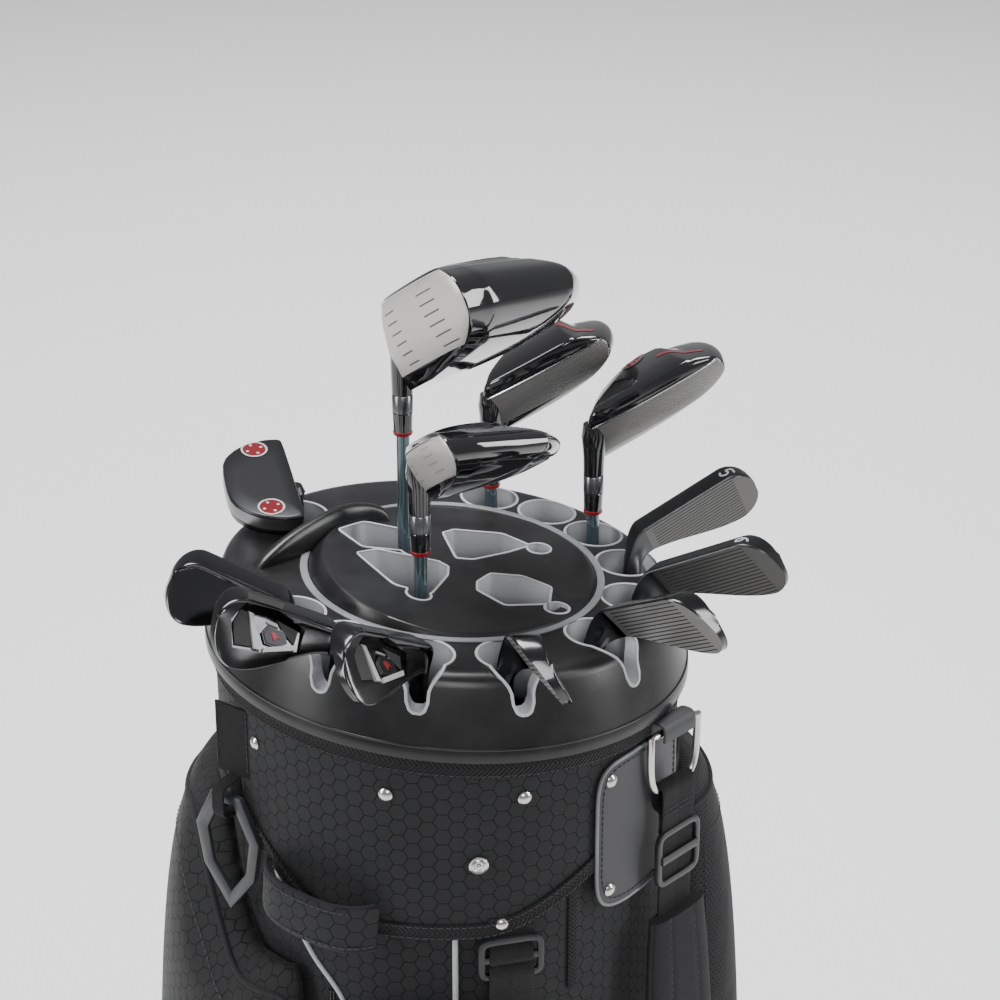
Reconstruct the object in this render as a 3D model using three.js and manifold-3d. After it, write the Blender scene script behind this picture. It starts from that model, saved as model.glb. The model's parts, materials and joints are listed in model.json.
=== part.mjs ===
// A golf club set in its cart bag: twelve clubs standing grip-down in a round bag with a moulded divider top.
// Millimetres, +Z up, origin at the middle of the base's underside, -Y is the side with the front strap.
import * as THREE from "three";
import { mergeVertices } from "three/addons/utils/BufferGeometryUtils.js";
import Module from "manifold-3d";

// ---- driving dimensions ----
const DECK_Z = 966; // height of the divider top's deck at the bag's axis
const TILT = -0.085; // the deck, rim and cuff fall this much per millimetre towards +X
const RIM_DROP = 57; // from the deck down to the rim of the skirt
const BAG_FLOOR = 14; // thickness of the base's floor, which the grips stand over
const BODY_R = 156; // outside radius of the fabric tube
const CUFF_R = 161.5; // outside radius of the upper cuff
const FABRIC = 3; // thickness of a fabric wall with its foam
const WELL_RING_R = 128; // circle on which the outer wells stand
const WELL_R = 20.5; // radius of an outer well
const WELL_WALL = 3; // wall of a moulded well
const WELL_DEPTH = 46; // depth of a moulded well below the deck
const NOTCH_W = 14; // width of the slot that lets an iron's heel out of its well
const NOTCH_DEPTH = 27;
const PLATEAU_R = 104; // radius of the raised middle of the deck
const PLATEAU_LIFT = 3; // its height over the deck at the axis
const PLATEAU_RISE = 0.14; // extra rise per millimetre towards -X
const GAP = 0.3; // between pieces that touch
const GRIP_LENGTH = 265;
const GRIP_BUTT_R = 13.2;
const GRIP_MOUTH_R = 8;
const HOSEL_R = 6.6;

const DEG = Math.PI / 180;
const TURN = 2 * Math.PI;
const deckZ = (x) => DECK_Z + TILT * x;
const rimZ = (x) => deckZ(x) - RIM_DROP;
const plateauZ = (x) => deckZ(x) + PLATEAU_LIFT + PLATEAU_RISE * Math.max(0, -x);
const polar = (r, deg) => [r * Math.cos(deg * DEG), r * Math.sin(deg * DEG)];
const mix = (a, b, f) => a + (b - a) * f;
const clamp = (f) => Math.min(1, Math.max(0, f));
const smooth = (f) => f * f * (3 - 2 * f);

// ---- finishes ----
const finish = (color, roughness, metalness) =>
  new THREE.MeshStandardMaterial({ color, roughness, metalness });
const MOULDED = finish(0x1d1d1f, 0.45, 0);
const GREY_TRIM = finish(0x9a9ca0, 0.5, 0);
const FABRIC_BLACK = finish(0x242428, 0.9, 0);
const WEBBING = finish(0x151517, 0.85, 0);
const LEATHER = finish(0x1a1a1c, 0.5, 0);
const NICKEL = finish(0xc8c8c4, 0.25, 1);
const GLOSS = finish(0x0b0b0c, 0.08, 0);
const BLACK_METAL = finish(0x2b2b2d, 0.35, 0.8);
const SHAFT_GREY = finish(0x5d6a70, 0.3, 0.6);
const RUBBER = finish(0x111112, 0.9, 0);

// ---- closed meshes and booleans ----
const wasm = await Module();
wasm.setup();

// A closed mesh from rings of equal length, capped by a fan at each end; rings run outwards-facing.
function loft(rings) {
  const count = rings[0].length;
  const points = rings.flat();
  const faces = [];
  rings.slice(1).forEach((_, r) => {
    for (let i = 0; i < count; i++) {
      const a = r * count + i;
      const b = r * count + ((i + 1) % count);
      faces.push([a, b, b + count], [a, b + count, a + count]);
    }
  });
  const cap = (start, flip) => {
    const ring = points.slice(start, start + count);
    const middle = [0, 1, 2].map((k) => ring.reduce((sum, p) => sum + p[k], 0) / count);
    points.push(middle);
    for (let i = 0; i < count; i++) {
      const a = start + i;
      const b = start + ((i + 1) % count);
      faces.push(flip ? [b, a, points.length - 1] : [a, b, points.length - 1]);
    }
  };
  cap(0, true);
  cap((rings.length - 1) * count, false);
  return meshOf(points, faces);
}

// A closed band: rings that run round a hollow and meet their first ring again.
function band(rings) {
  const count = rings[0].length;
  const faces = [];
  rings.forEach((_, r) => {
    const next = (r + 1) % rings.length;
    for (let i = 0; i < count; i++) {
      const j = (i + 1) % count;
      faces.push([r * count + i, r * count + j, next * count + j]);
      faces.push([r * count + i, next * count + j, next * count + i]);
    }
  });
  return meshOf(rings.flat(), faces);
}

function meshOf(points, faces) {
  const geometry = new THREE.BufferGeometry();
  geometry.setAttribute("position", new THREE.Float32BufferAttribute(points.flat(), 3));
  geometry.setIndex(faces.flat());
  return geometry;
}

// A geometry as a manifold solid, turned outside out where its faces point inwards.
function solid(geometry, matrix) {
  const plain = new THREE.BufferGeometry();
  const source = geometry.index ? geometry.toNonIndexed() : geometry;
  plain.setAttribute("position", source.getAttribute("position").clone());
  if (matrix) plain.applyMatrix4(matrix);
  const merged = mergeVertices(plain, 1e-3);
  const build = (flip) => {
    const triVerts = new Uint32Array(merged.index.array);
    for (let i = 0; flip && i < triVerts.length; i += 3) {
      [triVerts[i + 1], triVerts[i + 2]] = [triVerts[i + 2], triVerts[i + 1]];
    }
    const vertProperties = merged.attributes.position.array;
    return new wasm.Manifold(new wasm.Mesh({ numProp: 3, vertProperties, triVerts }));
  };
  const made = build(false);
  return made.volume() < 0 ? build(true) : made;
}

function geometryOf(made) {
  const mesh = made.getMesh();
  const position = new Float32Array(mesh.numVert * 3);
  for (let i = 0; i < mesh.numVert; i++) {
    position.set(mesh.vertProperties.subarray(i * mesh.numProp, i * mesh.numProp + 3), i * 3);
  }
  const geometry = new THREE.BufferGeometry();
  geometry.setAttribute("position", new THREE.BufferAttribute(position, 3));
  geometry.setIndex(new THREE.BufferAttribute(mesh.triVerts, 1));
  return geometry;
}

const root = new THREE.Group();
function add(name, geometry, material) {
  const mesh = new THREE.Mesh(geometryOf(solid(geometry)), material);
  mesh.name = name;
  root.add(mesh);
}
function addSolid(name, made, material) {
  const mesh = new THREE.Mesh(geometryOf(made), material);
  mesh.name = name;
  root.add(mesh);
}

// ---- simple solids from three.js shapes ----
const moved = (x, y, z) => new THREE.Matrix4().makeTranslation(x, y, z);
const placed = (x, y, z, deg) => moved(x, y, z).multiply(new THREE.Matrix4().makeRotationZ(deg * DEG));
const box = (w, d, h, matrix) => solid(new THREE.BoxGeometry(w, d, h), matrix);
const upright = new THREE.Matrix4().makeRotationX(Math.PI / 2);
function post(rTop, rBottom, z0, z1, sides, x, y) {
  const matrix = moved(x, y, (z0 + z1) / 2).multiply(upright);
  return solid(new THREE.CylinderGeometry(rTop, rBottom, z1 - z0, sides), matrix);
}
function prism(points, z0, z1) {
  const shape = new THREE.Shape(points.map(([x, y]) => new THREE.Vector2(x, y)));
  return solid(new THREE.ExtrudeGeometry(shape, { depth: z1 - z0, bevelEnabled: false }), moved(0, 0, z0));
}
function circleRing(sides, r, z) {
  return Array.from({ length: sides }, (_, i) => {
    const [x, y] = polar(r, (360 * i) / sides);
    return [x, y, typeof z === "function" ? z(x, y) : z];
  });
}
function grown(points, by) {
  const cx = points.reduce((s, p) => s + p[0], 0) / points.length;
  const cy = points.reduce((s, p) => s + p[1], 0) / points.length;
  return points.map(([x, y]) => {
    const d = Math.hypot(x - cx, y - cy);
    return [x + ((x - cx) / d) * by, y + ((y - cy) / d) * by];
  });
}

// ---- the bag's frame ----
const TUBE_SIDES = 32;

function baseCup() {
  const r = BODY_R + 0.6;
  const steps = [[r - 2, 0], [r + 5, 8], [r + 5, 70], [r + 3, 84], [r, 84], [r, BAG_FLOOR]];
  return loft(steps.map(([radius, z]) => circleRing(TUBE_SIDES, radius, z)));
}

function tube(rOut, rIn, z0, z1) {
  return band([
    circleRing(TUBE_SIDES, rOut, z0),
    circleRing(TUBE_SIDES, rOut, z1),
    circleRing(TUBE_SIDES, rIn, z1),
    circleRing(TUBE_SIDES, rIn, z0),
  ]);
}

add("base_cup", baseCup(), MOULDED);
const TUBE_TOP = DECK_Z - 74;
const CUFF_LOW = DECK_Z - 194;
add("body_tube", tube(BODY_R, BODY_R - FABRIC, BAG_FLOOR + GAP, TUBE_TOP), FABRIC_BLACK);
const cuffLow = (x, y) => {
  const fromFront = Math.abs(Math.atan2(x + 0.18 * Math.abs(y), -y)) / DEG;
  return CUFF_LOW + 54 * smooth(clamp((fromFront - 18) / 45));
};
add("upper_cuff", tube(CUFF_R, BODY_R + GAP, cuffLow, (x) => rimZ(x) + 5), FABRIC_BLACK);

// The full-length divider: a round sleeve round the middle bays with a panel across it.
const SLEEVE_R = 98;
const SLEEVE_TOP = DECK_Z - WELL_DEPTH - 20;
const PANEL_Y = -12;
const panelMiddle = (SLEEVE_TOP + BAG_FLOOR + GAP) / 2;
const panel = box(2 * SLEEVE_R - 1, 1.6, SLEEVE_TOP - BAG_FLOOR - GAP, moved(0, PANEL_Y, panelMiddle));
const sleeve = tube(SLEEVE_R, SLEEVE_R - 1.6, BAG_FLOOR + GAP, SLEEVE_TOP);
addSolid("divider_sleeve", solid(sleeve).add(panel), FABRIC_BLACK);

// Two stay rods stiffen the spine, which is the -X side.
const STAY_R = 3.2;
[["stay_rod_rear", 100], ["stay_rod_left", 172]].forEach(([name, deg]) => {
  const [x, y] = polar(BODY_R - FABRIC - STAY_R - 0.8, deg);
  addSolid(name, post(STAY_R, STAY_R, BAG_FLOOR + GAP, TUBE_TOP - 4, 10, x, y), NICKEL);
});

// ---- the divider top ----
const OUTER_WELLS = [
  { deg: 77, notch: false },
  { deg: 56.5, notch: false },
  { deg: 36, notch: false },
  { deg: 14, notch: true },
  { deg: -10, notch: true },
  { deg: -38.5, notch: true },
  { deg: -71, notch: true },
  { deg: -96, notch: true },
  { deg: -120, notch: true },
  { deg: -141, notch: true },
];
const PUTTER_WELL = { deg: 146, r: 129, radius: 20.5 };

// The four wells of the middle, each a faceted hole with a small round lobe that a shaft can rest in.
const INNER_WELLS = [
  { outline: [[-76, 22], [-59, 43], [-18, 43], [-12, 17], [-30, 9], [-58, 2]], lobe: [-24, 12] },
  { outline: [[-62, -9], [-48, 3], [-6, 3], [1, -3], [1, -16], [-10, -50], [-35, -46]], lobe: [-18, -53] },
  { outline: [[-4, 50], [4, 58], [38, 58], [58, 42], [42, 28], [18, 12], [6, 12]], lobe: [64, 38] },
  { outline: [[21, -35], [21, -22], [30, -8], [52, -8], [72, -22], [70, -48], [40, -55]], lobe: [75, -53] },
];
const LOBE_R = 8.5;
const WELL_SIDES = 12;

function skirtShell() {
  const offset = (dz) => (x) => deckZ(x) + dz;
  const rim = (dz) => (x) => rimZ(x) + dz;
  const outer = [
    circleRing(TUBE_SIDES, 90, offset(0)),
    circleRing(TUBE_SIDES, 146, offset(0)),
    circleRing(TUBE_SIDES, 152, offset(-2)),
    circleRing(TUBE_SIDES, 156, offset(-8)),
    circleRing(TUBE_SIDES, 163, offset(-32)),
    circleRing(TUBE_SIDES, 168, rim(6)),
    circleRing(TUBE_SIDES, 168, rim(0)),
  ];
  const inner = [
    circleRing(TUBE_SIDES, 164.5, rim(0)),
    circleRing(TUBE_SIDES, 164.5, rim(7)),
    circleRing(TUBE_SIDES, 159.5, offset(-32)),
    circleRing(TUBE_SIDES, 152, offset(-9)),
    circleRing(TUBE_SIDES, 144, offset(-5)),
    circleRing(TUBE_SIDES, 90, offset(-5)),
  ];
  return solid(band([...outer, ...inner]));
}

// The raised middle, with walls that lean in most on the -X side, as a shell open below.
const leanIn = (deg) => 3 + 11 * Math.max(0, -Math.cos((deg + 35) * DEG));
function plateauRing(r, lean, z) {
  return Array.from({ length: TUBE_SIDES }, (_, i) => {
    const deg = (360 * i) / TUBE_SIDES;
    const waist = 9 * Math.max(0, Math.cos((deg - 165) * DEG)) ** 2;
    const [x, y] = polar(r - waist - lean * leanIn(deg), deg);
    return [x, y, z(x)];
  });
}
function plateauBlock(low) {
  const foot = plateauRing(PLATEAU_R, 0, () => low);
  return solid(loft([foot, plateauRing(PLATEAU_R, 0, deckZ), plateauRing(PLATEAU_R, 1, plateauZ)]));
}

function plateauShell() {
  const under = (x) => plateauZ(x) - 4;
  const inner = loft([
    plateauRing(PLATEAU_R - 4.5, 0, () => DECK_Z - 31),
    plateauRing(PLATEAU_R - 4.5, 0.3, (x) => Math.min(deckZ(x) - 3, under(x) - 1)),
    plateauRing(PLATEAU_R - 5, 1, under),
  ]);
  return plateauBlock(DECK_Z - 30).subtract(solid(inner));
}

// A soft grey trim strip lies in the corner between the deck and the raised middle; room is the clearance round it.
const TRIM_W = 3;
function trimShape(room) {
  const ring = (out, up) => plateauRing(PLATEAU_R + GAP + out, 0, (x) => deckZ(x) + GAP + up);
  const foot = [ring(-room, -room), ring(TRIM_W + room, -room)];
  return solid(band([...foot, ring(TRIM_W + room, 1 + room), ring(-room, 1.6 + room)]));
}

// A raised grab ridge leaves the back of the middle and swings out over the deck on the -X side: x, y and top.
const RIDGE = [
  [-42, 62, DECK_Z + 17],
  [-60, 54, DECK_Z + 19],
  [-76, 38, DECK_Z + 22],
  [-86, 24, DECK_Z + 23],
  [-96, 10, DECK_Z + 23],
  [-108, -6, DECK_Z + 22],
  [-121, -22, DECK_Z + 20],
  [-127, -36, DECK_Z + 16],
];
const RIDGE_HALF = 6.5; // half its width
function grabRidge() {
  const curve = new THREE.CatmullRomCurve3(RIDGE.map(([x, y, z]) => new THREE.Vector3(x, y, z)));
  const steps = 14;
  const rings = Array.from({ length: steps + 1 }, (_, k) => {
    const p = curve.getPointAt(k / steps);
    const t = curve.getTangentAt(k / steps);
    const flat = Math.hypot(t.x, t.y);
    const at = (aside, z) => [p.x - (t.y / flat) * aside, p.y + (t.x / flat) * aside, z];
    const foot = deckZ(p.x) - 3.5;
    const half = RIDGE_HALF;
    return [
      at(half, foot),
      at(half, p.z - 6),
      at(half * 0.6, p.z - 1.5),
      at(0, p.z),
      at(-half * 0.6, p.z - 1.5),
      at(-half, p.z - 6),
      at(-half, foot),
    ];
  });
  return solid(loft(rings));
}

// The slot that lets an iron's heel out of its well: flared at the deck, round at the bottom.
function notchCut(deg) {
  const half = NOTCH_W / 2;
  const flare = [[19, 60], [19, 1], [12, -5], [half + 0.5, -13]];
  const side = [...flare, [half, half - NOTCH_DEPTH], [half - 2, 2 - NOTCH_DEPTH]];
  const mirrored = side.map(([w, z]) => [-w, z]).reverse();
  const outline = [...side, [0, -NOTCH_DEPTH], ...mirrored];
  const shape = new THREE.Shape(outline.map(([w, z]) => new THREE.Vector2(w, z)));
  const [c, s] = polar(1, deg);
  const [x, y] = polar(WELL_RING_R, deg);
  const axes = [new THREE.Vector3(-s, c, 0), new THREE.Vector3(0, 0, 1), new THREE.Vector3(c, s, 0)];
  const matrix = new THREE.Matrix4().makeBasis(...axes).setPosition(x, y, deckZ(1.2 * x));
  return solid(new THREE.ExtrudeGeometry(shape, { depth: 60, bevelEnabled: false }), matrix);
}

function dividerTop() {
  let top = skirtShell().add(plateauShell()).add(grabRidge().subtract(trimShape(GAP / 2)));
  const low = DECK_Z - WELL_DEPTH;
  const ceiling = DECK_Z + 70;
  const wall = (r, x, y) => post(r + WELL_WALL, r + WELL_WALL, low, deckZ(x) - 3, WELL_SIDES, x, y);
  const hole = (r, x, y) => post(r, r, low - 20, ceiling, WELL_SIDES, x, y);
  const wells = OUTER_WELLS.map((w) => [WELL_R, ...polar(WELL_RING_R, w.deg)]);
  wells.push([PUTTER_WELL.radius, ...polar(PUTTER_WELL.r, PUTTER_WELL.deg)]);
  const under = circleRing(TUBE_SIDES, 151, (x) => deckZ(x) - 3);
  const outside = solid(loft([circleRing(TUBE_SIDES, 158, low - 1), under]));
  const middle = plateauBlock(low - 1);
  wells.forEach(([r, x, y]) => (top = top.add(wall(r, x, y).intersect(outside))));
  INNER_WELLS.forEach(({ outline, lobe }) => {
    const round = post(LOBE_R + WELL_WALL, LOBE_R + WELL_WALL, low, ceiling, WELL_SIDES, ...lobe);
    const walls = prism(grown(outline, WELL_WALL), low, ceiling).add(round);
    top = top.add(walls.intersect(middle));
  });
  wells.forEach(([r, x, y]) => (top = top.subtract(hole(r, x, y))));
  INNER_WELLS.forEach(({ outline, lobe }) => {
    top = top.subtract(prism(outline, low - 20, ceiling));
    top = top.subtract(hole(LOBE_R, ...lobe));
  });
  OUTER_WELLS.filter((w) => w.notch).forEach(({ deg }) => (top = top.subtract(notchCut(deg))));
  return top;
}
addSolid("divider_top", dividerTop(), MOULDED);

addSolid("deck_trim", trimShape(0), GREY_TRIM);

// ---- pieces that follow the bag's round side ----
// A curved plate from deg0 to deg1 and z0 to z1, whose outer face stands off by depth(a, b).
// Both a and b run from -1 to 1.
function wrapped({ deg0, deg1, z0, z1, inner, depth, columns, rows, squareness = 8 }) {
  const inside = [];
  const outsideRing = [];
  const at = (a, b, r) => {
    const deg = mix(deg0, deg1, (a + 1) / 2);
    const z = mix(z0, typeof z1 === "function" ? z1(a) : z1, (b + 1) / 2);
    return [...polar(r, deg), z];
  };
  const shrink = (q) => Math.pow(Math.max(0, 1 - Math.pow(Math.abs(q), squareness)), 1 / squareness);
  for (let j = 0; j <= rows; j++) {
    const b = -1 + (2 * j) / rows;
    const width = 0.82 + 0.18 * shrink(b);
    for (let i = 0; i <= columns; i++) {
      const a = (-1 + (2 * i) / columns) * width;
      inside.push(at(a, b, inner));
      outsideRing.push(at(a, b, inner + depth(a / width, b)));
    }
  }
  const stride = columns + 1;
  const size = inside.length;
  const faces = [];
  for (let j = 0; j < rows; j++) {
    for (let i = 0; i < columns; i++) {
      const p = j * stride + i;
      faces.push([p, p + stride, p + 1], [p + 1, p + stride, p + stride + 1]);
      const q = size + p;
      faces.push([q, q + 1, q + stride], [q + 1, q + stride + 1, q + stride]);
    }
  }
  const edge = (p, q) => faces.push([p, q, q + size], [p, q + size, p + size]);
  for (let i = 0; i < columns; i++) {
    edge(i, i + 1);
    edge(rows * stride + i + 1, rows * stride + i);
  }
  for (let j = 0; j < rows; j++) {
    edge((j + 1) * stride, j * stride);
    edge(j * stride + columns, (j + 1) * stride + columns);
  }
  return meshOf([...inside, ...outsideRing], faces);
}

const fade = (v, power) => Math.sqrt(Math.max(0, 1 - Math.abs(v) ** power));
const crown = (a, b, pa, pb) => fade(a, pa) * fade(b, pb);
const GARMENT_TOP = DECK_Z - 146;
const COOLER_TOP = DECK_Z - 262;
const POCKETS = [
  { name: "pocket_garment_left", deg0: 150, deg1: 236, z0: 105, z1: GARMENT_TOP, depth: 60, top: 0.5, slant: 92 },
  { name: "pocket_garment_right", deg0: -13, deg1: 48, z0: 105, z1: GARMENT_TOP, depth: 62, top: 0.5, slant: 0 },
  { name: "pocket_ball_front", deg0: -117, deg1: -63, z0: 105, z1: 385, depth: 52, top: 0.1, slant: 0 },
  { name: "pocket_cooler_front", deg0: -116, deg1: -64, z0: 400, z1: COOLER_TOP, depth: 36, top: 0.1, slant: 0 },
];
const POCKET_EDGE = 6;
POCKETS.forEach(({ name, deg0, deg1, z0, z1, depth, top, slant }) => {
  const full = depth - POCKET_EDGE;
  const swell = (a, b) => POCKET_EDGE + full * crown(a, b, 4, 10) * (1 - top * Math.max(0, b) ** 2);
  const edge = (a) => z1 - slant * smooth(clamp((a + 0.1) / 0.7));
  const span = { deg0, deg1, z0, z1: edge, inner: BODY_R + 1.6 };
  add(name, wrapped({ ...span, depth: swell, columns: 8, rows: 8 }), FABRIC_BLACK);
});

// ---- shoulder strap: patch, ring, webbing, slider and pad ----
const flat = (t) => () => t;
const PATCH = { deg0: -52, deg1: -16, z0: DECK_Z - 198, z1: DECK_Z - 84 };
const patchSpan = { ...PATCH, inner: CUFF_R + GAP, depth: flat(2.4) };
add("strap_patch", wrapped({ ...patchSpan, columns: 8, rows: 4, squareness: 4 }), LEATHER);

// The strap hangs in its own frame: origin at the ring's bar, local X outwards, local Y along the bar, local Z up.
const STRAP_DEG = -27;
const STRAP_R = CUFF_R + 12;
const STRAP_Z = DECK_Z - 80;
const [strapX, strapY] = polar(STRAP_R, STRAP_DEG);
const strapFrame = placed(strapX, strapY, STRAP_Z, STRAP_DEG);
const inStrap = (matrix) => strapFrame.clone().multiply(matrix);
const RING_WIRE = 2.6;
const RING_HALF = 25;
const RING_DROP = 46;
const WEB_W = 34;

function dRing() {
  const arc = Array.from({ length: 15 }, (_, i) => {
    const turn = Math.PI + (Math.PI * i) / 14;
    const square = (v, size) => Math.sign(v) * size * Math.abs(v) ** 0.45;
    return new THREE.Vector3(0, square(Math.cos(turn), RING_HALF), square(Math.sin(turn), RING_DROP));
  });
  const section = (p, along) => {
    const side = new THREE.Vector3(1, 0, 0);
    const up = new THREE.Vector3().crossVectors(along, side).normalize();
    return Array.from({ length: 8 }, (_, k) => {
      const q = p.clone().addScaledVector(side, RING_WIRE * Math.cos((TURN * k) / 8));
      q.addScaledVector(up, RING_WIRE * Math.sin((TURN * k) / 8));
      return [q.x, q.y, q.z];
    });
  };
  const closed = [...arc, ...[0.5, 0, -0.5].map((f) => new THREE.Vector3(0, RING_HALF * f, 0))];
  const rings = closed.map((p, i) => {
    const before = closed[(i + closed.length - 1) % closed.length];
    const after = closed[(i + 1) % closed.length];
    return section(p, after.clone().sub(before).normalize());
  });
  return band(rings);
}
addSolid("strap_d_ring", solid(dRing(), strapFrame), NICKEL);
addSolid("d_ring_tab", tabLoop(), WEBBING);

// The leather tab wraps over the ring's bar and is sewn to the cuff above the patch.
function tabLoop() {
  const plate = box(4.4, 34, 16, inStrap(moved(-6.6 + GAP, 0, 0)));
  const over = box(14.2, 34, 3, inStrap(moved(-1.5, 0, 6.4)));
  const front = box(2.4, 34, 12, inStrap(moved(4.4, 0, 0.6)));
  return plate.add(over).add(front);
}

const webTop = -RING_DROP;
function webLoop() {
  const face = (x, z0, z1) => box(2, WEB_W, z1 - z0, inStrap(moved(x, 0, (z0 + z1) / 2)));
  const under = box(12, WEB_W, 2, inStrap(moved(0, 0, webTop + 7)));
  const fold = box(12, WEB_W, 3, inStrap(moved(0, 0, webTop - 13)));
  return face(5, webTop - 96, webTop + 8).add(face(-5, webTop - 14, webTop + 8)).add(under).add(fold);
}
addSolid("strap_webbing", webLoop(), WEBBING);

function slider() {
  const outer = box(6, WEB_W + 12, 44, inStrap(moved(5, 0, webTop - 50)));
  const slot = box(10, WEB_W + 2, 30, inStrap(moved(5, 0, webTop - 50)));
  const bar = box(2, WEB_W + 6, 6, inStrap(moved(7.4, 0, webTop - 50)));
  const channel = box(3, WEB_W + 2, 60, inStrap(moved(5, 0, webTop - 50)));
  return outer.subtract(slot).subtract(channel).add(bar);
}
addSolid("strap_slider", slider(), MOULDED);

function strapPad() {
  const steps = 9;
  const length = 430;
  const rings = Array.from({ length: steps + 1 }, (_, k) => {
    const f = k / steps;
    const z = webTop - 96.5 - length * f;
    const half = 21 + 13 * Math.sin(Math.PI * Math.min(1, f * 1.3 + 0.12)) ** 0.7;
    const thick = 3 + 5.5 * Math.sin(Math.PI * mix(0.06, 0.94, f)) ** 0.5;
    const lift = 6 + 24 * f;
    return [[-thick, -half], [thick, -half], [thick + 1.5, 0], [thick, half], [-thick, half]].map(([x, y]) => {
      const p = new THREE.Vector3(x + lift, y, z).applyMatrix4(strapFrame);
      return [p.x, p.y, p.z];
    });
  });
  return loft(rings);
}
add("strap_pad", strapPad(), WEBBING);

// ---- front strap buckle, towel ring, handle and zip sliders ----
function frontBuckle() {
  const z = DECK_Z - 212;
  const y = -(CUFF_R + 5);
  const plate = box(46, 5, 32, moved(44, y + 8, z));
  const slots = box(34, 12, 8, moved(44, y + 8, z + 7)).add(box(34, 12, 8, moved(44, y + 8, z - 7)));
  return plate.subtract(slots);
}
addSolid("front_buckle", frontBuckle(), MOULDED);

const RING_DEG = -149;
const RING_PIVOT_Z = DECK_Z - 130;
const RING_STAND = CUFF_R + 9;
const [ringX, ringY] = polar(RING_STAND, RING_DEG);
const ringFrame = placed(ringX, ringY, RING_PIVOT_Z, RING_DEG);
const diamond = [[-13, 4], [13, 4], [29, -27], [23, -58], [0, -88], [-23, -58], [-29, -27]];

function towelRing() {
  const slab = (points, depth) => {
    const shape = new THREE.Shape(points.map(([x, y]) => new THREE.Vector2(x, y)));
    const geometry = new THREE.ExtrudeGeometry(shape, { depth, bevelEnabled: false });
    geometry.translate(0, 0, -depth / 2);
    const axes = [new THREE.Vector3(0, 1, 0), new THREE.Vector3(0, 0, 1), new THREE.Vector3(1, 0, 0)];
    return solid(geometry, ringFrame.clone().multiply(new THREE.Matrix4().makeBasis(...axes)));
  };
  const hole = [[-6, -4], [6, -4], [19, -29], [15, -54], [0, -74], [-15, -54], [-19, -29]];
  return slab(diamond, 6).subtract(slab(hole, 20));
}
addSolid("towel_ring", towelRing(), MOULDED);

function ringTab() {
  const inRing = (x, z) => ringFrame.clone().multiply(moved(x, 0, z));
  const strip = (x, z0, z1) => box(2, 30, z1 - z0, inRing(x, (z0 + z1) / 2));
  const block = (w, d, h, x, z) => box(w, d, h, inRing(x, z));
  const loop = block(2, 10.5, 20, 7, 1).add(block(16, 10.5, 2, 0, -8)).add(block(16, 10.5, 2.4, 0, 10));
  return strip(-7, 9, 68).add(block(2, 10.5, 20, -7, 1)).add(loop);
}
addSolid("ring_tab", ringTab(), WEBBING);

const HANDLE = { deg0: -136, deg1: -106, z: DECK_Z - 184, height: 34 };
function grabHandle() {
  const span = (a) => 3 + 15 * Math.max(0, 1 - Math.abs(a) ** 3.5);
  const steps = 12;
  const rings = Array.from({ length: steps + 1 }, (_, k) => {
    const a = -1 + (2 * k) / steps;
    const deg = mix(HANDLE.deg0, HANDLE.deg1, k / steps);
    const r = CUFF_R + GAP + span(a);
    const half = HANDLE.height / 2;
    const drop = 26 * ((a + 1) / 2) - 20;
    const low = HANDLE.z - half - drop * 0.4;
    const high = HANDLE.z + half - drop * 0.4;
    const [inner, outer] = [polar(r, deg), polar(r + 6, deg)];
    return [[...inner, low], [...outer, low], [...outer, high], [...inner, high]];
  });
  return loft(rings);
}
add("grab_handle", grabHandle(), FABRIC_BLACK);

// Zip sliders run down the outer edge of each garment pocket.
const ZIPS = [
  { name: "zip_slider_left", deg: 240.5, z: 700 },
  { name: "zip_slider_right", deg: 52.5, z: 790 },
];
ZIPS.forEach(({ name, deg, z }) => {
  const frame = placed(...polar(BODY_R, deg), z, deg);
  const at = (x, y, up) => frame.clone().multiply(moved(x, y, up));
  const body = box(5, 8, 11, at(3.2, 0, 0));
  const bridge = box(2.4, 3, 7, at(6.4, 0, 0));
  const pull = box(1.8, 7, 30, at(8.3, 0, -13));
  addSolid(name, body.add(bridge).add(pull), NICKEL);
});

// ---- clubs ----
// Each head is built in its own frame: X to the toe along the sole, Y away from the face, Z out of the sole.
// The origin is where the shaft's axis meets the sole, and the shaft leaves it along (-cos lie, 0, -sin lie).
const TIP_R = 4.5;
const BORE = 28;

const headMatrix = ({ shaft, top, heading, lie }) => {
  const [c, s] = polar(1, heading);
  const [cl, sl] = polar(1, lie);
  const toe = new THREE.Vector3(c * sl, s * sl, cl);
  const back = new THREE.Vector3(-s, c, 0);
  const sole = new THREE.Vector3(-c * cl, -s * cl, sl);
  return new THREE.Matrix4().makeBasis(toe, back, sole).setPosition(shaft[0], shaft[1], top);
};

// One cross-section of an iron's blade: sole, trailing edge, back, top line and face.
function bladeRing(t, { length, loft: angle, heelFace, toeFace, sole }) {
  const [c, s] = polar(1, angle);
  const face = mix(heelFace, toeFace, smooth(clamp(t / (0.85 * length))));
  const heel = t < 4 ? Math.sqrt(clamp(1 - ((4 - t) / 13) ** 2)) : 1;
  const toe = t > length - 18 ? Math.sqrt(clamp(1 - ((t - length + 18) / 18.4) ** 2)) : 1;
  const low = face * (0.42 * (1 - toe) + 0.1 * (1 - heel));
  const high = face - face * (0.4 * (1 - toe) + 0.3 * (1 - heel));
  const onFace = (up, behind) => [up * s + behind * c, -up * c + behind * s];
  const width = sole * (0.5 + 0.5 * Math.min(heel, toe));
  const drop = -low * c;
  const points = [
    [low * s, drop - 1.5],
    [low * s + 2.5, drop],
    [low * s + width - 2, drop - 0.6],
    [low * s + width, drop - 3.5],
    onFace(mix(low, high, 0.42) + 2, 9.5),
    onFace(high - 1, 6),
    onFace(high, 3.2),
    onFace(high - 1, 0),
  ];
  return points.map(([b, up]) => [t, b, up]);
}

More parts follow.
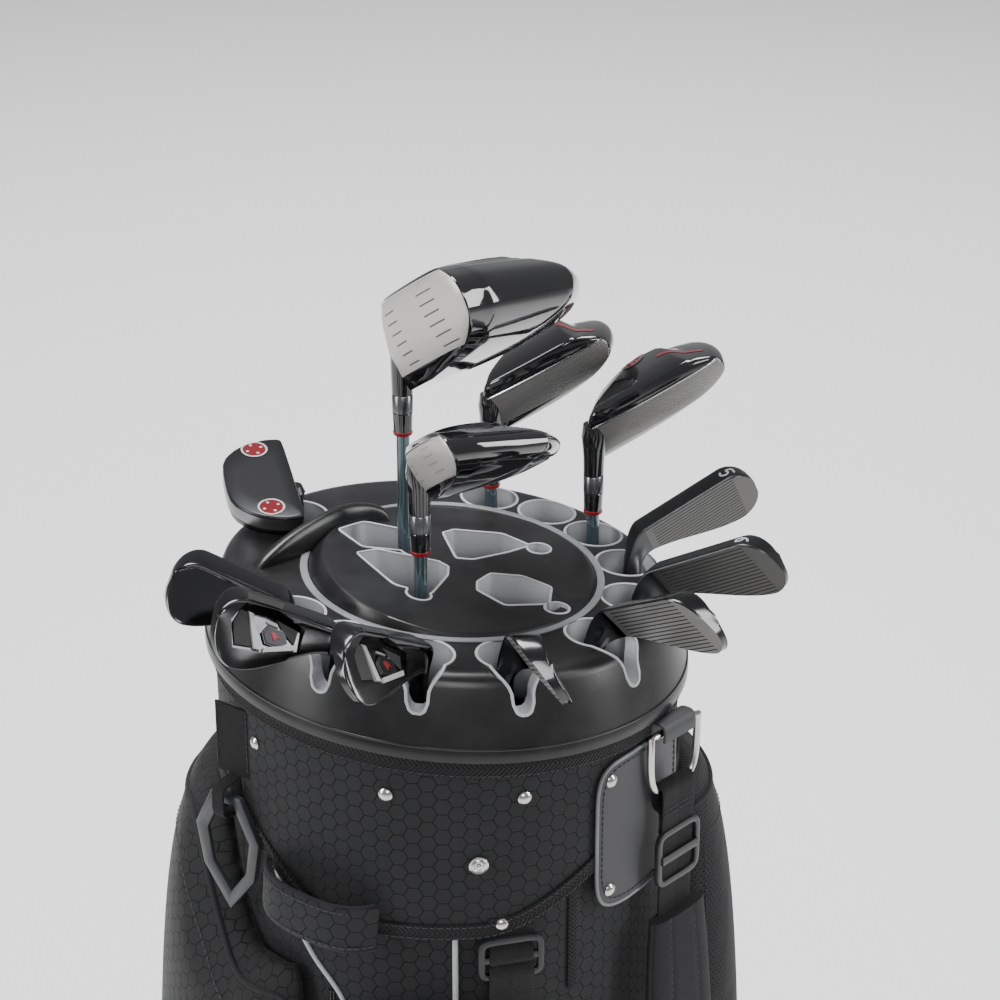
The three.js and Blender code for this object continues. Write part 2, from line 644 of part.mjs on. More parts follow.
// The cavity's outline, as shares of the sole's length and of the face's height at the toe.
const CAVITY = [[0.3, 0.34], [0.56, 0.26], [0.82, 0.28], [0.9, 0.5], [0.85, 0.8], [0.58, 0.74], [0.32, 0.6]];

function ironHead(club) {
  const { length, loft: angle, toeFace, cavity } = club;
  const near = [-8, -5, 0, 6, 0.3 * length, 0.5 * length, 0.7 * length];
  const stations = [...near, ...[18, 11, 6, 2.5, 0.4].map((d) => length - d)];
  let head = solid(loft(stations.map((t) => bladeRing(t, club))));
  if (cavity) {
    const shape = new THREE.Shape(CAVITY.map(([x, y]) => new THREE.Vector2(x * length, y * toeFace)));
    const pocket = new THREE.ExtrudeGeometry(shape, { depth: 30, bevelEnabled: false });
    const [c, s] = polar(1, angle);
    const axes = [new THREE.Vector3(1, 0, 0), new THREE.Vector3(0, s, -c), new THREE.Vector3(0, c, s)];
    const matrix = new THREE.Matrix4().makeBasis(...axes).multiply(moved(0, 0, cavity));
    head = head.subtract(solid(pocket, matrix));
  }
  return head;
}

// Stacked outlines of a wood's body, sole to crown: share of the height, reach past the shaft at the heel for a
// body 60 high, then shares of the length and of the depth. The heel follows the shaft up into the neck.
const WOOD_PROFILE = [
  [0, 2, 0.72, 0.5],
  [0.05, 9, 0.86, 0.78],
  [0.2, 16, 0.97, 0.97],
  [0.4, 22, 1, 1],
  [0.62, 29, 0.95, 0.9],
  [0.82, 34, 0.76, 0.64],
  [0.94, 37, 0.46, 0.36],
  [1, 38, 0.05, 0.12],
];
const WOOD_SIDES = 22;
function woodHead({ length, height, depth, loft: angle, point, ahead }) {
  const lean = Math.tan(angle * DEG);
  const rings = WOOD_PROFILE.map(([h, heel, toe, deep]) => {
    const up = -h * height;
    const [t0, t1] = [(-heel * height) / 60, toe * length];
    return Array.from({ length: WOOD_SIDES }, (_, i) => {
      const a = (TURN * i) / WOOD_SIDES;
      const front = (1 - deep) * 4 - lean * up - ahead;
      const side = Math.abs(Math.sin(a));
      const run = Math.sin(a) >= 0 ? deep * (depth - 10) * side ** point : -8 * deep * side ** 0.7;
      return [(t0 + t1) / 2 + ((t1 - t0) / 2) * Math.cos(a), front + 6 + run, up];
    });
  });
  return solid(loft(rings));
}

function putterHead() {
  const front = [[-50, 2], [-46, 0], [44, 0], [48, 2]];
  const outline = [...front, [49, 14], [42, 34], [26, 48], [-24, 50], [-44, 34], [-51, 14]];
  const at = (size, up) => outline.map(([t, b]) => [t * size, 24 + (b - 24) * size, up]);
  return solid(loft([at(0.97, 0), at(1, -2), at(1, -11), at(0.94, -17)]));
}

// The hosel stands on the shaft's axis and is bored for the shaft's tip.
const alongShaft = (lie, from, to) =>
  new THREE.Matrix4()
    .makeRotationY(Math.atan2(-Math.cos(lie * DEG), -Math.sin(lie * DEG)))
    .multiply(moved(0, 0, (from + to) / 2))
    .multiply(upright);
const rod = (lie, from, to, r, sides) =>
  solid(new THREE.CylinderGeometry(r, r, to - from, sides), alongShaft(lie, from, to));

const HEADS = { iron: ironHead, wood: woodHead, putter: putterHead };
const HEAD_FINISH = { iron: BLACK_METAL, wood: GLOSS, putter: GLOSS };
const REST = BAG_FLOOR + 1;
const WOOD_LIE = 58;
const IRON_LIE = 62;
const DRIVER = { loft: 10.5, length: 104, height: 60, depth: 134, point: 1.2, ahead: 17, hosel: [24, 100] };
const WOOD3 = { loft: 15, length: 92, height: 40, depth: 84, point: 1, ahead: 12, hosel: [18, 84] };
const WOOD5 = { loft: 18, length: 96, height: 38, depth: 78, point: 1, ahead: 12, hosel: [18, 80] };
const HYBRID = { loft: 21, length: 88, height: 34, depth: 100, point: 1.1, ahead: 13, hosel: [16, 78] };
const IRONS = {
  iron5: { loft: 25, length: 94, heelFace: 27, toeFace: 54, sole: 20 },
  iron6: { loft: 28, length: 94, heelFace: 27, toeFace: 55, sole: 20 },
  iron7: { loft: 32, length: 92, heelFace: 27, toeFace: 56, sole: 20 },
  iron8: { loft: 36, length: 88, heelFace: 27, toeFace: 57, sole: 20 },
  iron9: { loft: 41, length: 88, heelFace: 28, toeFace: 58, sole: 21, cavity: 5 },
  wedge_pitching: { loft: 45, length: 88, heelFace: 28, toeFace: 58, sole: 21, cavity: 5 },
  wedge_sand: { loft: 55, length: 80, heelFace: 29, toeFace: 60, sole: 23 },
};

// Where each club stands: its shaft in plan, its sole over the deck, the way its toe points, and how far its butt
// hangs below the sole, which is down to the floor for the woods.
const CLUBS = [
  { name: "driver", kind: "wood", shaft: [-30, 27], top: 190, heading: -60, lie: WOOD_LIE, ...DRIVER },
  { name: "wood3", kind: "wood", shaft: [30, 122], top: 92, heading: -14, lie: 57, ...WOOD3 },
  { name: "wood5", kind: "wood", shaft: [103, 76], top: 88, heading: -5, lie: 57, ...WOOD5 },
  { name: "hybrid", kind: "wood", shaft: [-17, -38], top: 108, heading: -72, lie: 59, ...HYBRID },
  { name: "iron5", kind: "iron", shaft: [130, 32], top: 9, heading: 16, lie: IRON_LIE, reach: 938, ...IRONS.iron5 },
  { name: "iron6", kind: "iron", shaft: [131, -24], top: 8, heading: -27, lie: IRON_LIE, reach: 930, ...IRONS.iron6 },
  { name: "iron7", kind: "iron", shaft: [98, -81], top: 8, heading: -50, lie: IRON_LIE, reach: 920, ...IRONS.iron7 },
  { name: "iron8", kind: "iron", shaft: [39, -125], top: 13, heading: -87, lie: IRON_LIE, reach: 908, ...IRONS.iron8 },
  { name: "iron9", kind: "iron", shaft: [-17, -130], top: 16, heading: 225, lie: IRON_LIE, reach: 896, ...IRONS.iron9 },
  { name: "wedge_pitching", kind: "iron", shaft: [-69, -114], top: 20, heading: 199, lie: IRON_LIE, reach: 890, ...IRONS.wedge_pitching },
  { name: "wedge_sand", kind: "iron", shaft: [-99, -84], top: 26, heading: 182, lie: IRON_LIE, reach: 886, ...IRONS.wedge_sand },
  { name: "putter", kind: "putter", shaft: [-110, 74], top: 38, heading: 104, lie: 79, reach: 860 },
];

CLUBS.forEach((club) => {
  const top = DECK_Z + club.top;
  const { name, kind, lie } = club;
  const [x, y] = club.shaft;
  const matrix = headMatrix({ ...club, top });
  const [from, to] = club.hosel ?? [4, 64];
  const bore = rod(lie, to - BORE, to + 1, TIP_R + 0.9, 8);
  const body = HEADS[kind](club).add(rod(lie, from, to, HOSEL_R, 12)).subtract(bore);
  addSolid(`${name}_head`, body.transform(matrix.elements), HEAD_FINISH[kind]);
  const butt = club.reach ? top - club.reach : REST;
  const mouth = butt + GRIP_LENGTH;
  const buried = mouth - 30;
  addSolid(`${name}_shaft`, post(TIP_R, 7.2, buried, top - to + BORE - 0.4, 8, x, y), SHAFT_GREY);
  const grip = post(GRIP_MOUTH_R + 1.4, GRIP_BUTT_R, butt, mouth, 10, x, y);
  addSolid(`${name}_grip`, grip.subtract(post(7.6, 7.9, buried - 0.5, mouth + 1, 8, x, y)), RUBBER);
});

export default root;
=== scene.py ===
"""The looks of a golf club set in its cart bag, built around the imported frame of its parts.

Lengths are millimetres until a mesh is made, when they become metres. +Z is up, -Y is the front of the bag.
"""

from __future__ import annotations

import json
import logging
import math
from dataclasses import dataclass, field
from enum import Enum
from typing import Callable, Sequence

import bmesh
import bpy
import numpy as np
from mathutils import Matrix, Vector

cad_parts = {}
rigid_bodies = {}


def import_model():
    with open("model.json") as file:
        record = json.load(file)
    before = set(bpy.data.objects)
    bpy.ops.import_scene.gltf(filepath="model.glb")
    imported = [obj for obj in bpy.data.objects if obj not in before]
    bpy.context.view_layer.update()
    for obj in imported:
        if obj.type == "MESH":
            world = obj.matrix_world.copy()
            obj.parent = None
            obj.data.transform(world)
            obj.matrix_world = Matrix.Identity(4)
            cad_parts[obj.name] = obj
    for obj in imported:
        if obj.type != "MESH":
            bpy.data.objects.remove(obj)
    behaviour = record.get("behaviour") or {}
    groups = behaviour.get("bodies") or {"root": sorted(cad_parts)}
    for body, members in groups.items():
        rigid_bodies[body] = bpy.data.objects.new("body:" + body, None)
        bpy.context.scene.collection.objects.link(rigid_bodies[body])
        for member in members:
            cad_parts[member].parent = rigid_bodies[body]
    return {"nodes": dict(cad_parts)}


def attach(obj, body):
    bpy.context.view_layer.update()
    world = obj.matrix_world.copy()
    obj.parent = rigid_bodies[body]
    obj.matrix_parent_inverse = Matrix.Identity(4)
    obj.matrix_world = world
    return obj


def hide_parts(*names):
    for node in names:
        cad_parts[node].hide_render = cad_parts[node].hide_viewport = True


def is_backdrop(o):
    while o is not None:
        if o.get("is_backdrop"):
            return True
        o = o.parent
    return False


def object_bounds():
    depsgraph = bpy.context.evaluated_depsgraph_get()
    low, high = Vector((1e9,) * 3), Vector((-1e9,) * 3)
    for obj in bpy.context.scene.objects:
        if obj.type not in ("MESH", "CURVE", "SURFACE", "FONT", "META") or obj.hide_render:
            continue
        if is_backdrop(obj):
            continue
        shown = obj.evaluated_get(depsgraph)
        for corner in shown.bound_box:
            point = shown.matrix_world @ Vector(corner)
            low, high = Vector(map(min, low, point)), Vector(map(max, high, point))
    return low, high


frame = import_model()
CAD_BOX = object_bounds()

MM = 0.001
LOG = logging.getLogger("golf_set")
Array = np.ndarray

# ---- the bag's driving sizes, shared with the frame ----
DECK_Z = 966.0
TILT = -0.085
RIM_DROP = 57.0
BAG_FLOOR = 14.0
BODY_R = 156.0
CUFF_R = 161.5
CUFF_LOW = DECK_Z - 194
WELL_RING_R = 128.0
WELL_R = 20.5
WELL_DEPTH = 46.0
PLATEAU_R = 104.0
PLATEAU_LIFT = 3.0
PLATEAU_RISE = 0.14
GRIP_LENGTH = 265.0


def deck_z(x: Array | float) -> Array | float:
    """Height of the deck at a place across the bag."""
    return DECK_Z + TILT * x


def rim_z(x: Array | float) -> Array | float:
    """Height of the skirt's rim at a place across the bag."""
    return deck_z(x) - RIM_DROP


def polar(r: float, deg: float) -> Array:
    """The plan position at a radius and an angle in degrees."""
    return np.array([r * math.cos(math.radians(deg)), r * math.sin(math.radians(deg))])


def smooth(f: Array | float) -> Array | float:
    """An S-curve from 0 to 1, flat outside that span."""
    f = np.clip(f, 0.0, 1.0)
    return f * f * (3 - 2 * f)


def curve_through(points: Sequence[Sequence[float]], steps: int, closed: bool) -> Array:
    """Points on a smooth curve through the given ones.

    Args:
        points: the places that the curve passes.
        steps: points made for each span.
        closed: whether the last place joins the first.

    Returns:
        The finer list of places.
    """
    p = np.asarray(points, float)
    n = len(p)
    spans = n if closed else n - 1
    out = []
    for i in range(spans):
        pick = [(i + k) % n if closed else min(max(i + k, 0), n - 1) for k in (-1, 0, 1, 2)]
        a, b, c, d = (p[k] for k in pick)
        for t in np.linspace(0, 1, steps, endpoint=False):
            bend, twist = (2 * a - 5 * b + 4 * c - d) * t**2, (3 * b - a - 3 * c + d) * t**3
            out.append(0.5 * (2 * b + (c - a) * t + bend + twist))
    if not closed:
        out.append(p[-1])
    return np.array(out)


# ---- shader expressions ----
class Val:
    """A shader socket; Python's operators on it add Math nodes."""

    def __init__(self, graph: Graph, socket: bpy.types.NodeSocket) -> None:
        """Keeps the graph that the socket belongs to."""
        self.graph, self.socket = graph, socket

    def math(self, operation: str, *others: Val | float) -> Val:
        """A Math node with this value first."""
        return self.graph.node("ShaderNodeMath", {"operation": operation}, [self, *others])

    def __add__(self, o: Val | float) -> Val:
        """Sum."""
        return self.math("ADD", o)

    __radd__ = __add__

    def __sub__(self, o: Val | float) -> Val:
        """Difference."""
        return self.math("SUBTRACT", o)

    def __rsub__(self, o: float) -> Val:
        """Difference from a number."""
        return self.graph.node("ShaderNodeMath", {"operation": "SUBTRACT"}, [o, self])

    def __mul__(self, o: Val | float) -> Val:
        """Product."""
        return self.math("MULTIPLY", o)

    __rmul__ = __mul__

    def __truediv__(self, o: Val | float) -> Val:
        """Quotient."""
        return self.math("DIVIDE", o)

    def __rtruediv__(self, o: float) -> Val:
        """A number over this."""
        return self.graph.node("ShaderNodeMath", {"operation": "DIVIDE"}, [o, self])

    def __mod__(self, o: float) -> Val:
        """Remainder that is never negative."""
        return self.math("FLOORED_MODULO", o)

    def __lt__(self, o: Val | float) -> Val:
        """1 where this is less."""
        return self.math("LESS_THAN", o)

    def __gt__(self, o: Val | float) -> Val:
        """1 where this is more."""
        return self.math("GREATER_THAN", o)

    def __abs__(self) -> Val:
        """Size without sign."""
        return self.math("ABSOLUTE")

    def sin(self) -> Val:
        """Sine."""
        return self.math("SINE")

    def most(self, o: Val | float) -> Val:
        """The larger of two."""
        return self.math("MAXIMUM", o)

    def step(self, low: float, high: float) -> Val:
        """0 below low and 1 above high, with an S-curve between."""
        settings = {"interpolation_type": "SMOOTHSTEP"}
        return self.graph.node("ShaderNodeMapRange", settings,
                               {"Value": self, "From Min": low, "From Max": high})

    def within(self, low: float, high: float, soft: float) -> Val:
        """1 between low and high, fading over soft at both ends."""
        return self.step(low - soft, low + soft) * (1 - self.step(high - soft, high + soft))


Color = tuple[float, float, float]


class Graph:
    """The node tree of one material."""

    def __init__(self, name: str) -> None:
        """Starts an empty tree with its surface shader."""
        self.material = bpy.data.materials.new(name)
        self.material.use_nodes = True
        self.tree = self.material.node_tree
        self.tree.nodes.clear()
        self.output = self.tree.nodes.new("ShaderNodeOutputMaterial")
        self.shader = self.tree.nodes.new("ShaderNodeBsdfPrincipled")
        self.tree.links.new(self.shader.outputs[0], self.output.inputs[0])

    def node(self, kind: str, settings: dict | None = None, sockets: dict | list | None = None,
             out: int | str = 0) -> Val:
        """Adds a node.

        Args:
            kind: the node's type.
            settings: its own settings; "stops" sets a ramp's places and colours.
            sockets: values or links, by name or in order.
            out: which output to return.

        Returns:
            The chosen output.
        """
        made = self.tree.nodes.new(kind)
        for key, value in (settings or {}).items():
            if key == "stops":
                ramp = made.color_ramp.elements
                while len(ramp) < len(value):
                    ramp.new(0.5)
                for element, (place, color) in zip(ramp, value):
                    element.position, element.color = place, (*color, 1)
            else:
                setattr(made, key, value)
        entries = (sockets or {}).items() if isinstance(sockets, dict) else enumerate(sockets or [])
        for key, value in entries:
            self.feed(made.inputs[key], value)
        return Val(self, made.outputs[out])

    def feed(self, socket: bpy.types.NodeSocket, value: object) -> None:
        """Links or sets one input."""
        if isinstance(value, Val):
            self.tree.links.new(value.socket, socket)
        elif isinstance(value, tuple) and len(value) == 3 and socket.type == "RGBA":
            socket.default_value = (*value, 1)
        else:
            socket.default_value = value

    def cloth(self) -> tuple[Val, Val, Val]:
        """The place on the piece in millimetres: along, across, and the vector of both."""
        uv = self.node("ShaderNodeUVMap", {"uv_map": "cloth"})
        x = self.node("ShaderNodeSeparateXYZ", None, [uv], 0)
        y = self.node("ShaderNodeSeparateXYZ", None, [uv], 1)
        return x, y, uv

    def solid_place(self) -> Val:
        """The place in the object, in millimetres."""
        place = self.node("ShaderNodeTexCoord", None, None, "Object")
        return self.node("ShaderNodeVectorMath", {"operation": "SCALE"}, {"Vector": place, "Scale": 1 / MM})

    def noise(self, vector: Val, size: float, detail: float = 3.0, rough: float = 0.55) -> Val:
        """Soft noise whose blobs are about size millimetres."""
        inputs = {"Vector": vector, "Scale": 1 / size, "Detail": detail, "Roughness": rough}
        return self.node("ShaderNodeTexNoise", None, inputs, 0)

    def stretch(self, vector: Val, by: Color) -> Val:
        """The vector scaled along each axis."""
        return self.node("ShaderNodeVectorMath", {"operation": "MULTIPLY"}, [vector, by])

    def mix(self, factor: Val | float, a: Val | Color, b: Val | Color) -> Val:
        """A colour between two."""
        return self.node("ShaderNodeMix", {"data_type": "RGBA"}, {0: factor, 6: a, 7: b}, 2)

    def bump(self, height: Val, depth: float, strength: float = 1.0) -> Val:
        """A normal from a height field whose full range is depth millimetres."""
        return self.node("ShaderNodeBump", None, {"Height": height, "Distance": depth * MM,
                                                  "Strength": strength})

    def surface(self, **sockets: object) -> bpy.types.Material:
        """Sets the shader's inputs, named with underscores for spaces, and returns the material."""
        for key, value in sockets.items():
            self.feed(self.shader.inputs[key.replace("_", " ")], value)
        return self.material


# ---- finishes ----
@dataclass(frozen=True)
class Finish:
    """A finish that makes one material, once."""

    name: str

    def material(self) -> bpy.types.Material:
        """The material of this finish."""
        found = bpy.data.materials.get(self.name)
        return found if found else self.build(Graph(self.name))

    def build(self, g: Graph) -> bpy.types.Material:
        """Makes the material's nodes."""
        raise NotImplementedError


@dataclass(frozen=True)
class Moulded(Finish):
    """Injection-moulded plastic with a fine spark-eroded grain."""

    color: Color = (0.018, 0.018, 0.02)
    rough: float = 0.42
    grain: float = 0.05

    def build(self, g: Graph) -> bpy.types.Material:
        """Fine grain, slow variation and a few rubbed patches."""
        place = g.solid_place()
        fine, slow = g.noise(place, 0.9), g.noise(place, 38, 4)
        rubbed = g.noise(place, 12, 6, 0.7).step(0.56, 0.72)
        lift = tuple(min(1.0, c * 1.9 + 0.012) for c in self.color)
        base = g.mix(slow.step(0.35, 0.75) * 0.5 + rubbed * 0.3, self.color, lift)
        rough = slow * 0.14 + fine * 0.08 - rubbed * 0.06 + (self.rough - 0.09)
        return g.surface(Base_Color=base, Roughness=rough, Normal=g.bump(fine, self.grain),
                         Specular_IOR_Level=0.5)


@dataclass(frozen=True)
class WellWall(Finish):
    """Light grey moulding with painted shade that darkens it down the well; across is the depth."""

    def build(self, g: Graph) -> bpy.types.Material:
        """A ramp of painted shade that darkens with depth, with grain."""
        _, depth, _ = g.cloth()
        # painted shade: the wall's light grey is darkened towards near black down to the well's floor
        stops = [(0.0, (0.5, 0.51, 0.53)), (0.35, (0.44, 0.45, 0.47)), (0.75, (0.2, 0.205, 0.215)),
                 (1.0, (0.03, 0.03, 0.033))]
        ramp = g.node("ShaderNodeValToRGB", {"stops": stops}, [depth / WELL_DEPTH])
        fine = g.noise(g.solid_place(), 1.1)
        return g.surface(Base_Color=g.mix(fine * 0.25, ramp, (0.05, 0.05, 0.05)), Roughness=fine * 0.2 + 0.42,
                         Normal=g.bump(fine, 0.04))


@dataclass(frozen=True)
class Lacquer(Finish):
    """Deep gloss lacquer with metal flake."""

    color: Color = (0.006, 0.006, 0.007)
    flake: Color = (0.03, 0.03, 0.033)
    rough: float = 0.07
    metal: float = 0.0

    def build(self, g: Graph) -> bpy.types.Material:
        """Flakes under a clear coat, with faint orange peel and dust."""
        place = g.solid_place()
        flakes = g.node("ShaderNodeTexVoronoi", {"feature": "F1"}, {"Vector": place, "Scale": 3.2},
            0).step(0.34, 0.18)
        peel, dust = g.noise(place, 2.4, 2), g.noise(place, 9, 6, 0.75).step(0.55, 0.8)
        base = g.mix(flakes * 0.35, self.color, self.flake)
        return g.surface(
            Base_Color=base, Roughness=dust * 0.12 + self.rough, Metallic=self.metal, Coat_Weight=1.0,
            Coat_Roughness=0.04, Normal=g.bump(peel, 0.012, 0.6),
        )


@dataclass(frozen=True)
class Metal(Finish):
    """Bare or plated metal."""

    color: Color = (0.62, 0.6, 0.56)
    rough: float = 0.2
    brushed: Color = (1.0, 1.0, 1.0)
    grain: float = 0.01

    def build(self, g: Graph) -> bpy.types.Material:
        """Scratches stretched along the brushing, stains and worn spots."""
        place = g.solid_place()
        lines = g.noise(g.stretch(place, self.brushed), 0.6, 4, 0.6)
        stain = g.noise(place, 14, 5, 0.6)
        dull = tuple(c * 0.72 for c in self.color)
        base = g.mix(stain.step(0.4, 0.75) * 0.5 + lines * 0.2, self.color, dull)
        rough = lines * 0.14 + stain * 0.12 + (self.rough - 0.12)
        return g.surface(Base_Color=base, Roughness=rough, Metallic=1.0, Normal=g.bump(lines, self.grain))


class Scoring(Enum):
    """The marks cut in a club's face."""

    COLUMNS = "two columns of short lines"
    DOTS = "two columns of dots"
    FINE = "fine lines all over"
    GROOVES = "grooves across the middle"
    PLAIN = "no marks"


@dataclass(frozen=True)
class ClubFace(Finish):
    """A milled or blasted face; along is towards the toe and across is up the face."""

    scoring: Scoring = Scoring.FINE
    color: Color = (0.36, 0.35, 0.335)
    rough: float = 0.36
    length: float = 90.0
    metal: float = 0.75

    def marks(self, g: Graph, along: Val, up: Val) -> Val:
        """1 in the cut marks.

        Args:
            g: the graph; not used.
            along: place towards the toe.
            up: place up the face.

        Returns:
            The mask.
        """
        span = self.length
        sides = along.within(-0.02 * span, 0.15 * span, 0.3).most(along.within(0.52 * span, 0.73 * span, 0.3))
        if self.scoring is Scoring.COLUMNS:
            return sides * abs(up % 7.2 - 3.6).step(0.62, 0.3) * up.within(5, 52, 0.3)
        if self.scoring is Scoring.DOTS:
            round_spot = (abs(up % 5.2 - 2.6).math("POWER", 2.0) + abs(along % 4.0 - 2.0).math("POWER",
                2.0)).step(0.75, 0.35)
            return sides * round_spot
        if self.scoring is Scoring.FINE:
            return abs(up % 1.7 - 0.85).step(0.3, 0.12) * 0.6
        if self.scoring is Scoring.GROOVES:
            return abs(up % 3.3 - 1.65).step(0.62, 0.4) * along.within(14, 0.86 * span,
                0.25) * up.within(4, 54, 0.3)
        return along * 0.0

    def build(self, g: Graph) -> bpy.types.Material:
        """Blasted or brushed metal with its marks."""
        along, up, uv = g.cloth()
        brushed = g.noise(g.stretch(uv, (0.12, 2.2, 1.0)), 0.7, 4, 0.6)
        blasted = g.noise(g.solid_place(), 0.45, 2)
        slow = g.noise(uv, 22, 3)
        cut = self.marks(g, along, up)
        dark = tuple(c * 0.16 for c in self.color)
        worn = tuple(min(1.0, c * 1.35) for c in self.color)
        base = g.mix(cut, g.mix(brushed * 0.5 + slow * 0.4, self.color, worn), dark)
        height = brushed * 0.05 + blasted * 0.08 - cut
        rough = brushed * 0.12 + slow * 0.1 + (self.rough - 0.08)
        return g.surface(Base_Color=base, Roughness=rough, Metallic=self.metal,
                         Normal=g.bump(height, 0.25, 0.8))


@dataclass(frozen=True)
class Honeycomb(Finish):
    """Ripstop cloth with a woven honeycomb; the cloth's place is in millimetres."""

    cell: float = 11.4
    color: Color = (0.0075, 0.0078, 0.0086)
    line: Color = (0.0014, 0.0014, 0.0016)
    sheen: float = 0.08

    def build(self, g: Graph) -> bpy.types.Material:
        """Hexagon outlines over a plain weave, with sheen."""
        along, up, uv = g.cloth()
        x, y = along / self.cell, up / self.cell
        wide = math.sqrt(3)
        rows = []
        for shift in (0.0, 0.5):
            gx, gy = abs((x + shift * wide) % wide - wide / 2), abs((y + shift) % 1.0 - 0.5)
            rows.append((gx * gx + gy * gy, gy.most(gx * (wide / 2) + gy * 0.5)))
        nearer = rows[0][0] < rows[1][0]
        edge = rows[1][1] + nearer * (rows[0][1] - rows[1][1])
        line = edge.step(0.448, 0.474)
        warp = (along * (math.tau / 0.85)).sin() * (up * (math.tau / 0.85)).sin()
        fuzz, slow = g.noise(uv, 0.5, 2), g.noise(uv, 60, 3)
        lit = tuple(c * 2.1 for c in self.color)
        base = g.mix(line * 0.95, g.mix(warp * 0.22 + slow * 0.5 + fuzz * 0.2, self.color, lit), self.line)
        height = warp * 0.12 + fuzz * 0.12 - line * 0.8
        return g.surface(
            Base_Color=base, Roughness=0.72 + line * 0.2 - slow * 0.1, Sheen_Weight=self.sheen, Sheen_Roughness=0.4,
            Specular_IOR_Level=0.3,
            Normal=g.bump(height, 0.35, 0.9),
        )


class Weave(Enum):
    """The way a band or cloth is woven."""

    HERRINGBONE = "slanted ribs meeting in the middle"
    PLAIN = "plain square weave"
    PIQUE = "open dimpled mesh"
    KNIT = "fine knit over foam"
    HOOKS = "short stiff hooks"


@dataclass(frozen=True)
class Cloth(Finish):
    """Webbing, binding, mesh and padded cloth; along runs down the band and across is its width."""

    weave: Weave = Weave.PLAIN
    pitch: float = 1.6
    color: Color = (0.012, 0.012, 0.013)
    depth: float = 0.3

    def threads(self, g: Graph, along: Val, across: Val, uv: Val) -> Val:
        """Height of the threads, 0 to 1."""
        turn = math.tau / self.pitch
        if self.weave is Weave.HERRINGBONE:
            return ((along + abs(across)) * turn).sin() * 0.5 + 0.5
        if self.weave is Weave.PIQUE:
            row = across / self.pitch
            offset = (row * 0.5 % 1.0).math("GREATER_THAN", 0.5) * (0.5 * self.pitch)
            hole = abs((along + offset) % self.pitch - self.pitch / 2) + abs(across % self.pitch - self.pitch / 2)
            return (hole / self.pitch).step(0.2, 0.42)
        if self.weave is Weave.KNIT:
            return ((along * turn).sin() * (across * turn * 0.5).sin()) * 0.3 + g.noise(uv, 0.8, 2) * 0.7
        if self.weave is Weave.HOOKS:
            return g.noise(uv, 0.9, 2).step(0.4, 0.6)
        return (along * turn).sin() * (across * turn).sin() * 0.5 + 0.5

    def build(self, g: Graph) -> bpy.types.Material:
        """Threads, lint and uneven fading."""
        along, across, uv = g.cloth()
        threads = self.threads(g, along, across, uv)
        slow, lint = g.noise(uv, 25, 3), g.noise(uv, 0.6, 3)
        lit = tuple(c * 2.6 + 0.004 for c in self.color)
        base = g.mix(threads * 0.6 + slow * 0.25 + lint * 0.15, self.color, lit)
        return g.surface(
            Base_Color=base, Roughness=0.86 - threads * 0.14, Sheen_Weight=0.04, Sheen_Roughness=0.5,
            Specular_IOR_Level=0.22,
            Normal=g.bump(threads + lint * 0.3, self.depth),
        )


@dataclass(frozen=True)
class Leather(Finish):
    """Smooth synthetic leather with a pebbled grain."""

    color: Color = (0.0045, 0.0045, 0.005)

    def build(self, g: Graph) -> bpy.types.Material:
        """Pebbles, creases and a low sheen."""
        place = g.solid_place()
        cells = g.node("ShaderNodeTexVoronoi", {"feature": "F1"}, {"Vector": place, "Scale": 0.75}, 0)
        crease, slow = g.noise(place, 5, 6, 0.7), g.noise(place, 30, 2)
        base = g.mix(cells.step(0.2, 0.9) * 0.4 + slow * 0.4, self.color, tuple(c * 2.2 for c in self.color))
        return g.surface(Base_Color=base, Roughness=cells * 0.12 + crease * 0.14 + 0.36,
                         Specular_IOR_Level=0.3,
                         Normal=g.bump(cells * -0.6 + crease * 0.5, 0.16))


@dataclass(frozen=True)
class Rubber(Finish):
    """Soft rubber with rows of small pits."""

    color: Color = (0.014, 0.014, 0.015)

    def build(self, g: Graph) -> bpy.types.Material:
        """Pits in a diamond pattern with dust in them."""
        along, across, uv = g.cloth()
        a, b = (along + across) % 4.2 - 2.1, (along - across) % 4.2 - 2.1
        pit = (a * a + b * b).step(2.4, 1.2)
        fine = g.noise(uv, 1.0, 3)
        base = g.mix(pit * 0.5 + fine * 0.2, self.color, (0.045, 0.045, 0.045))
        return g.surface(Base_Color=base, Roughness=0.74 + fine * 0.12, Normal=g.bump(fine * 0.2 - pit, 0.4))


@dataclass(frozen=True)
class Beaded(Finish):
    """Reflective piping covered in glass beads, or enamel when smooth."""

    color: Color = (0.42, 0.43, 0.44)
    bead: float = 0.8
    rough: float = 0.45

    def build(self, g: Graph) -> bpy.types.Material:
        """Small beads over a slightly uneven colour."""
        place = g.solid_place()
        beads = g.node("ShaderNodeTexVoronoi", {"feature": "F1"}, {"Vector": place, "Scale": 1 / self.bead},
                       0)
        slow = g.noise(place, 7, 4)
        dark = tuple(c * 0.6 for c in self.color)
        base = g.mix(beads.step(0.3, 0.9) * 0.5 + slow.step(0.4, 0.8) * 0.3, self.color, dark)
        return g.surface(Base_Color=base, Roughness=slow * 0.15 + (self.rough - 0.05),
                         Normal=g.bump(beads * -1.0, 0.1 * self.bead))


@dataclass(frozen=True)
class Carbon(Finish):
    """A dark panel with fine slanted ribs; along and across are the panel's own."""

    color: Color = (0.012, 0.012, 0.013)

    def build(self, g: Graph) -> bpy.types.Material:
        """Slanted ribs with grain."""
        along, across, uv = g.cloth()
        ribs = ((along + across) * (math.tau / 1.3)).sin() * 0.5 + 0.5
        fine = g.noise(uv, 0.7, 2)
        base = g.mix(ribs * 0.6 + fine * 0.2, self.color, (0.05, 0.05, 0.052))
        return g.surface(Base_Color=base, Roughness=0.5 - ribs * 0.12, Metallic=0.3,
                         Normal=g.bump(ribs, 0.12))


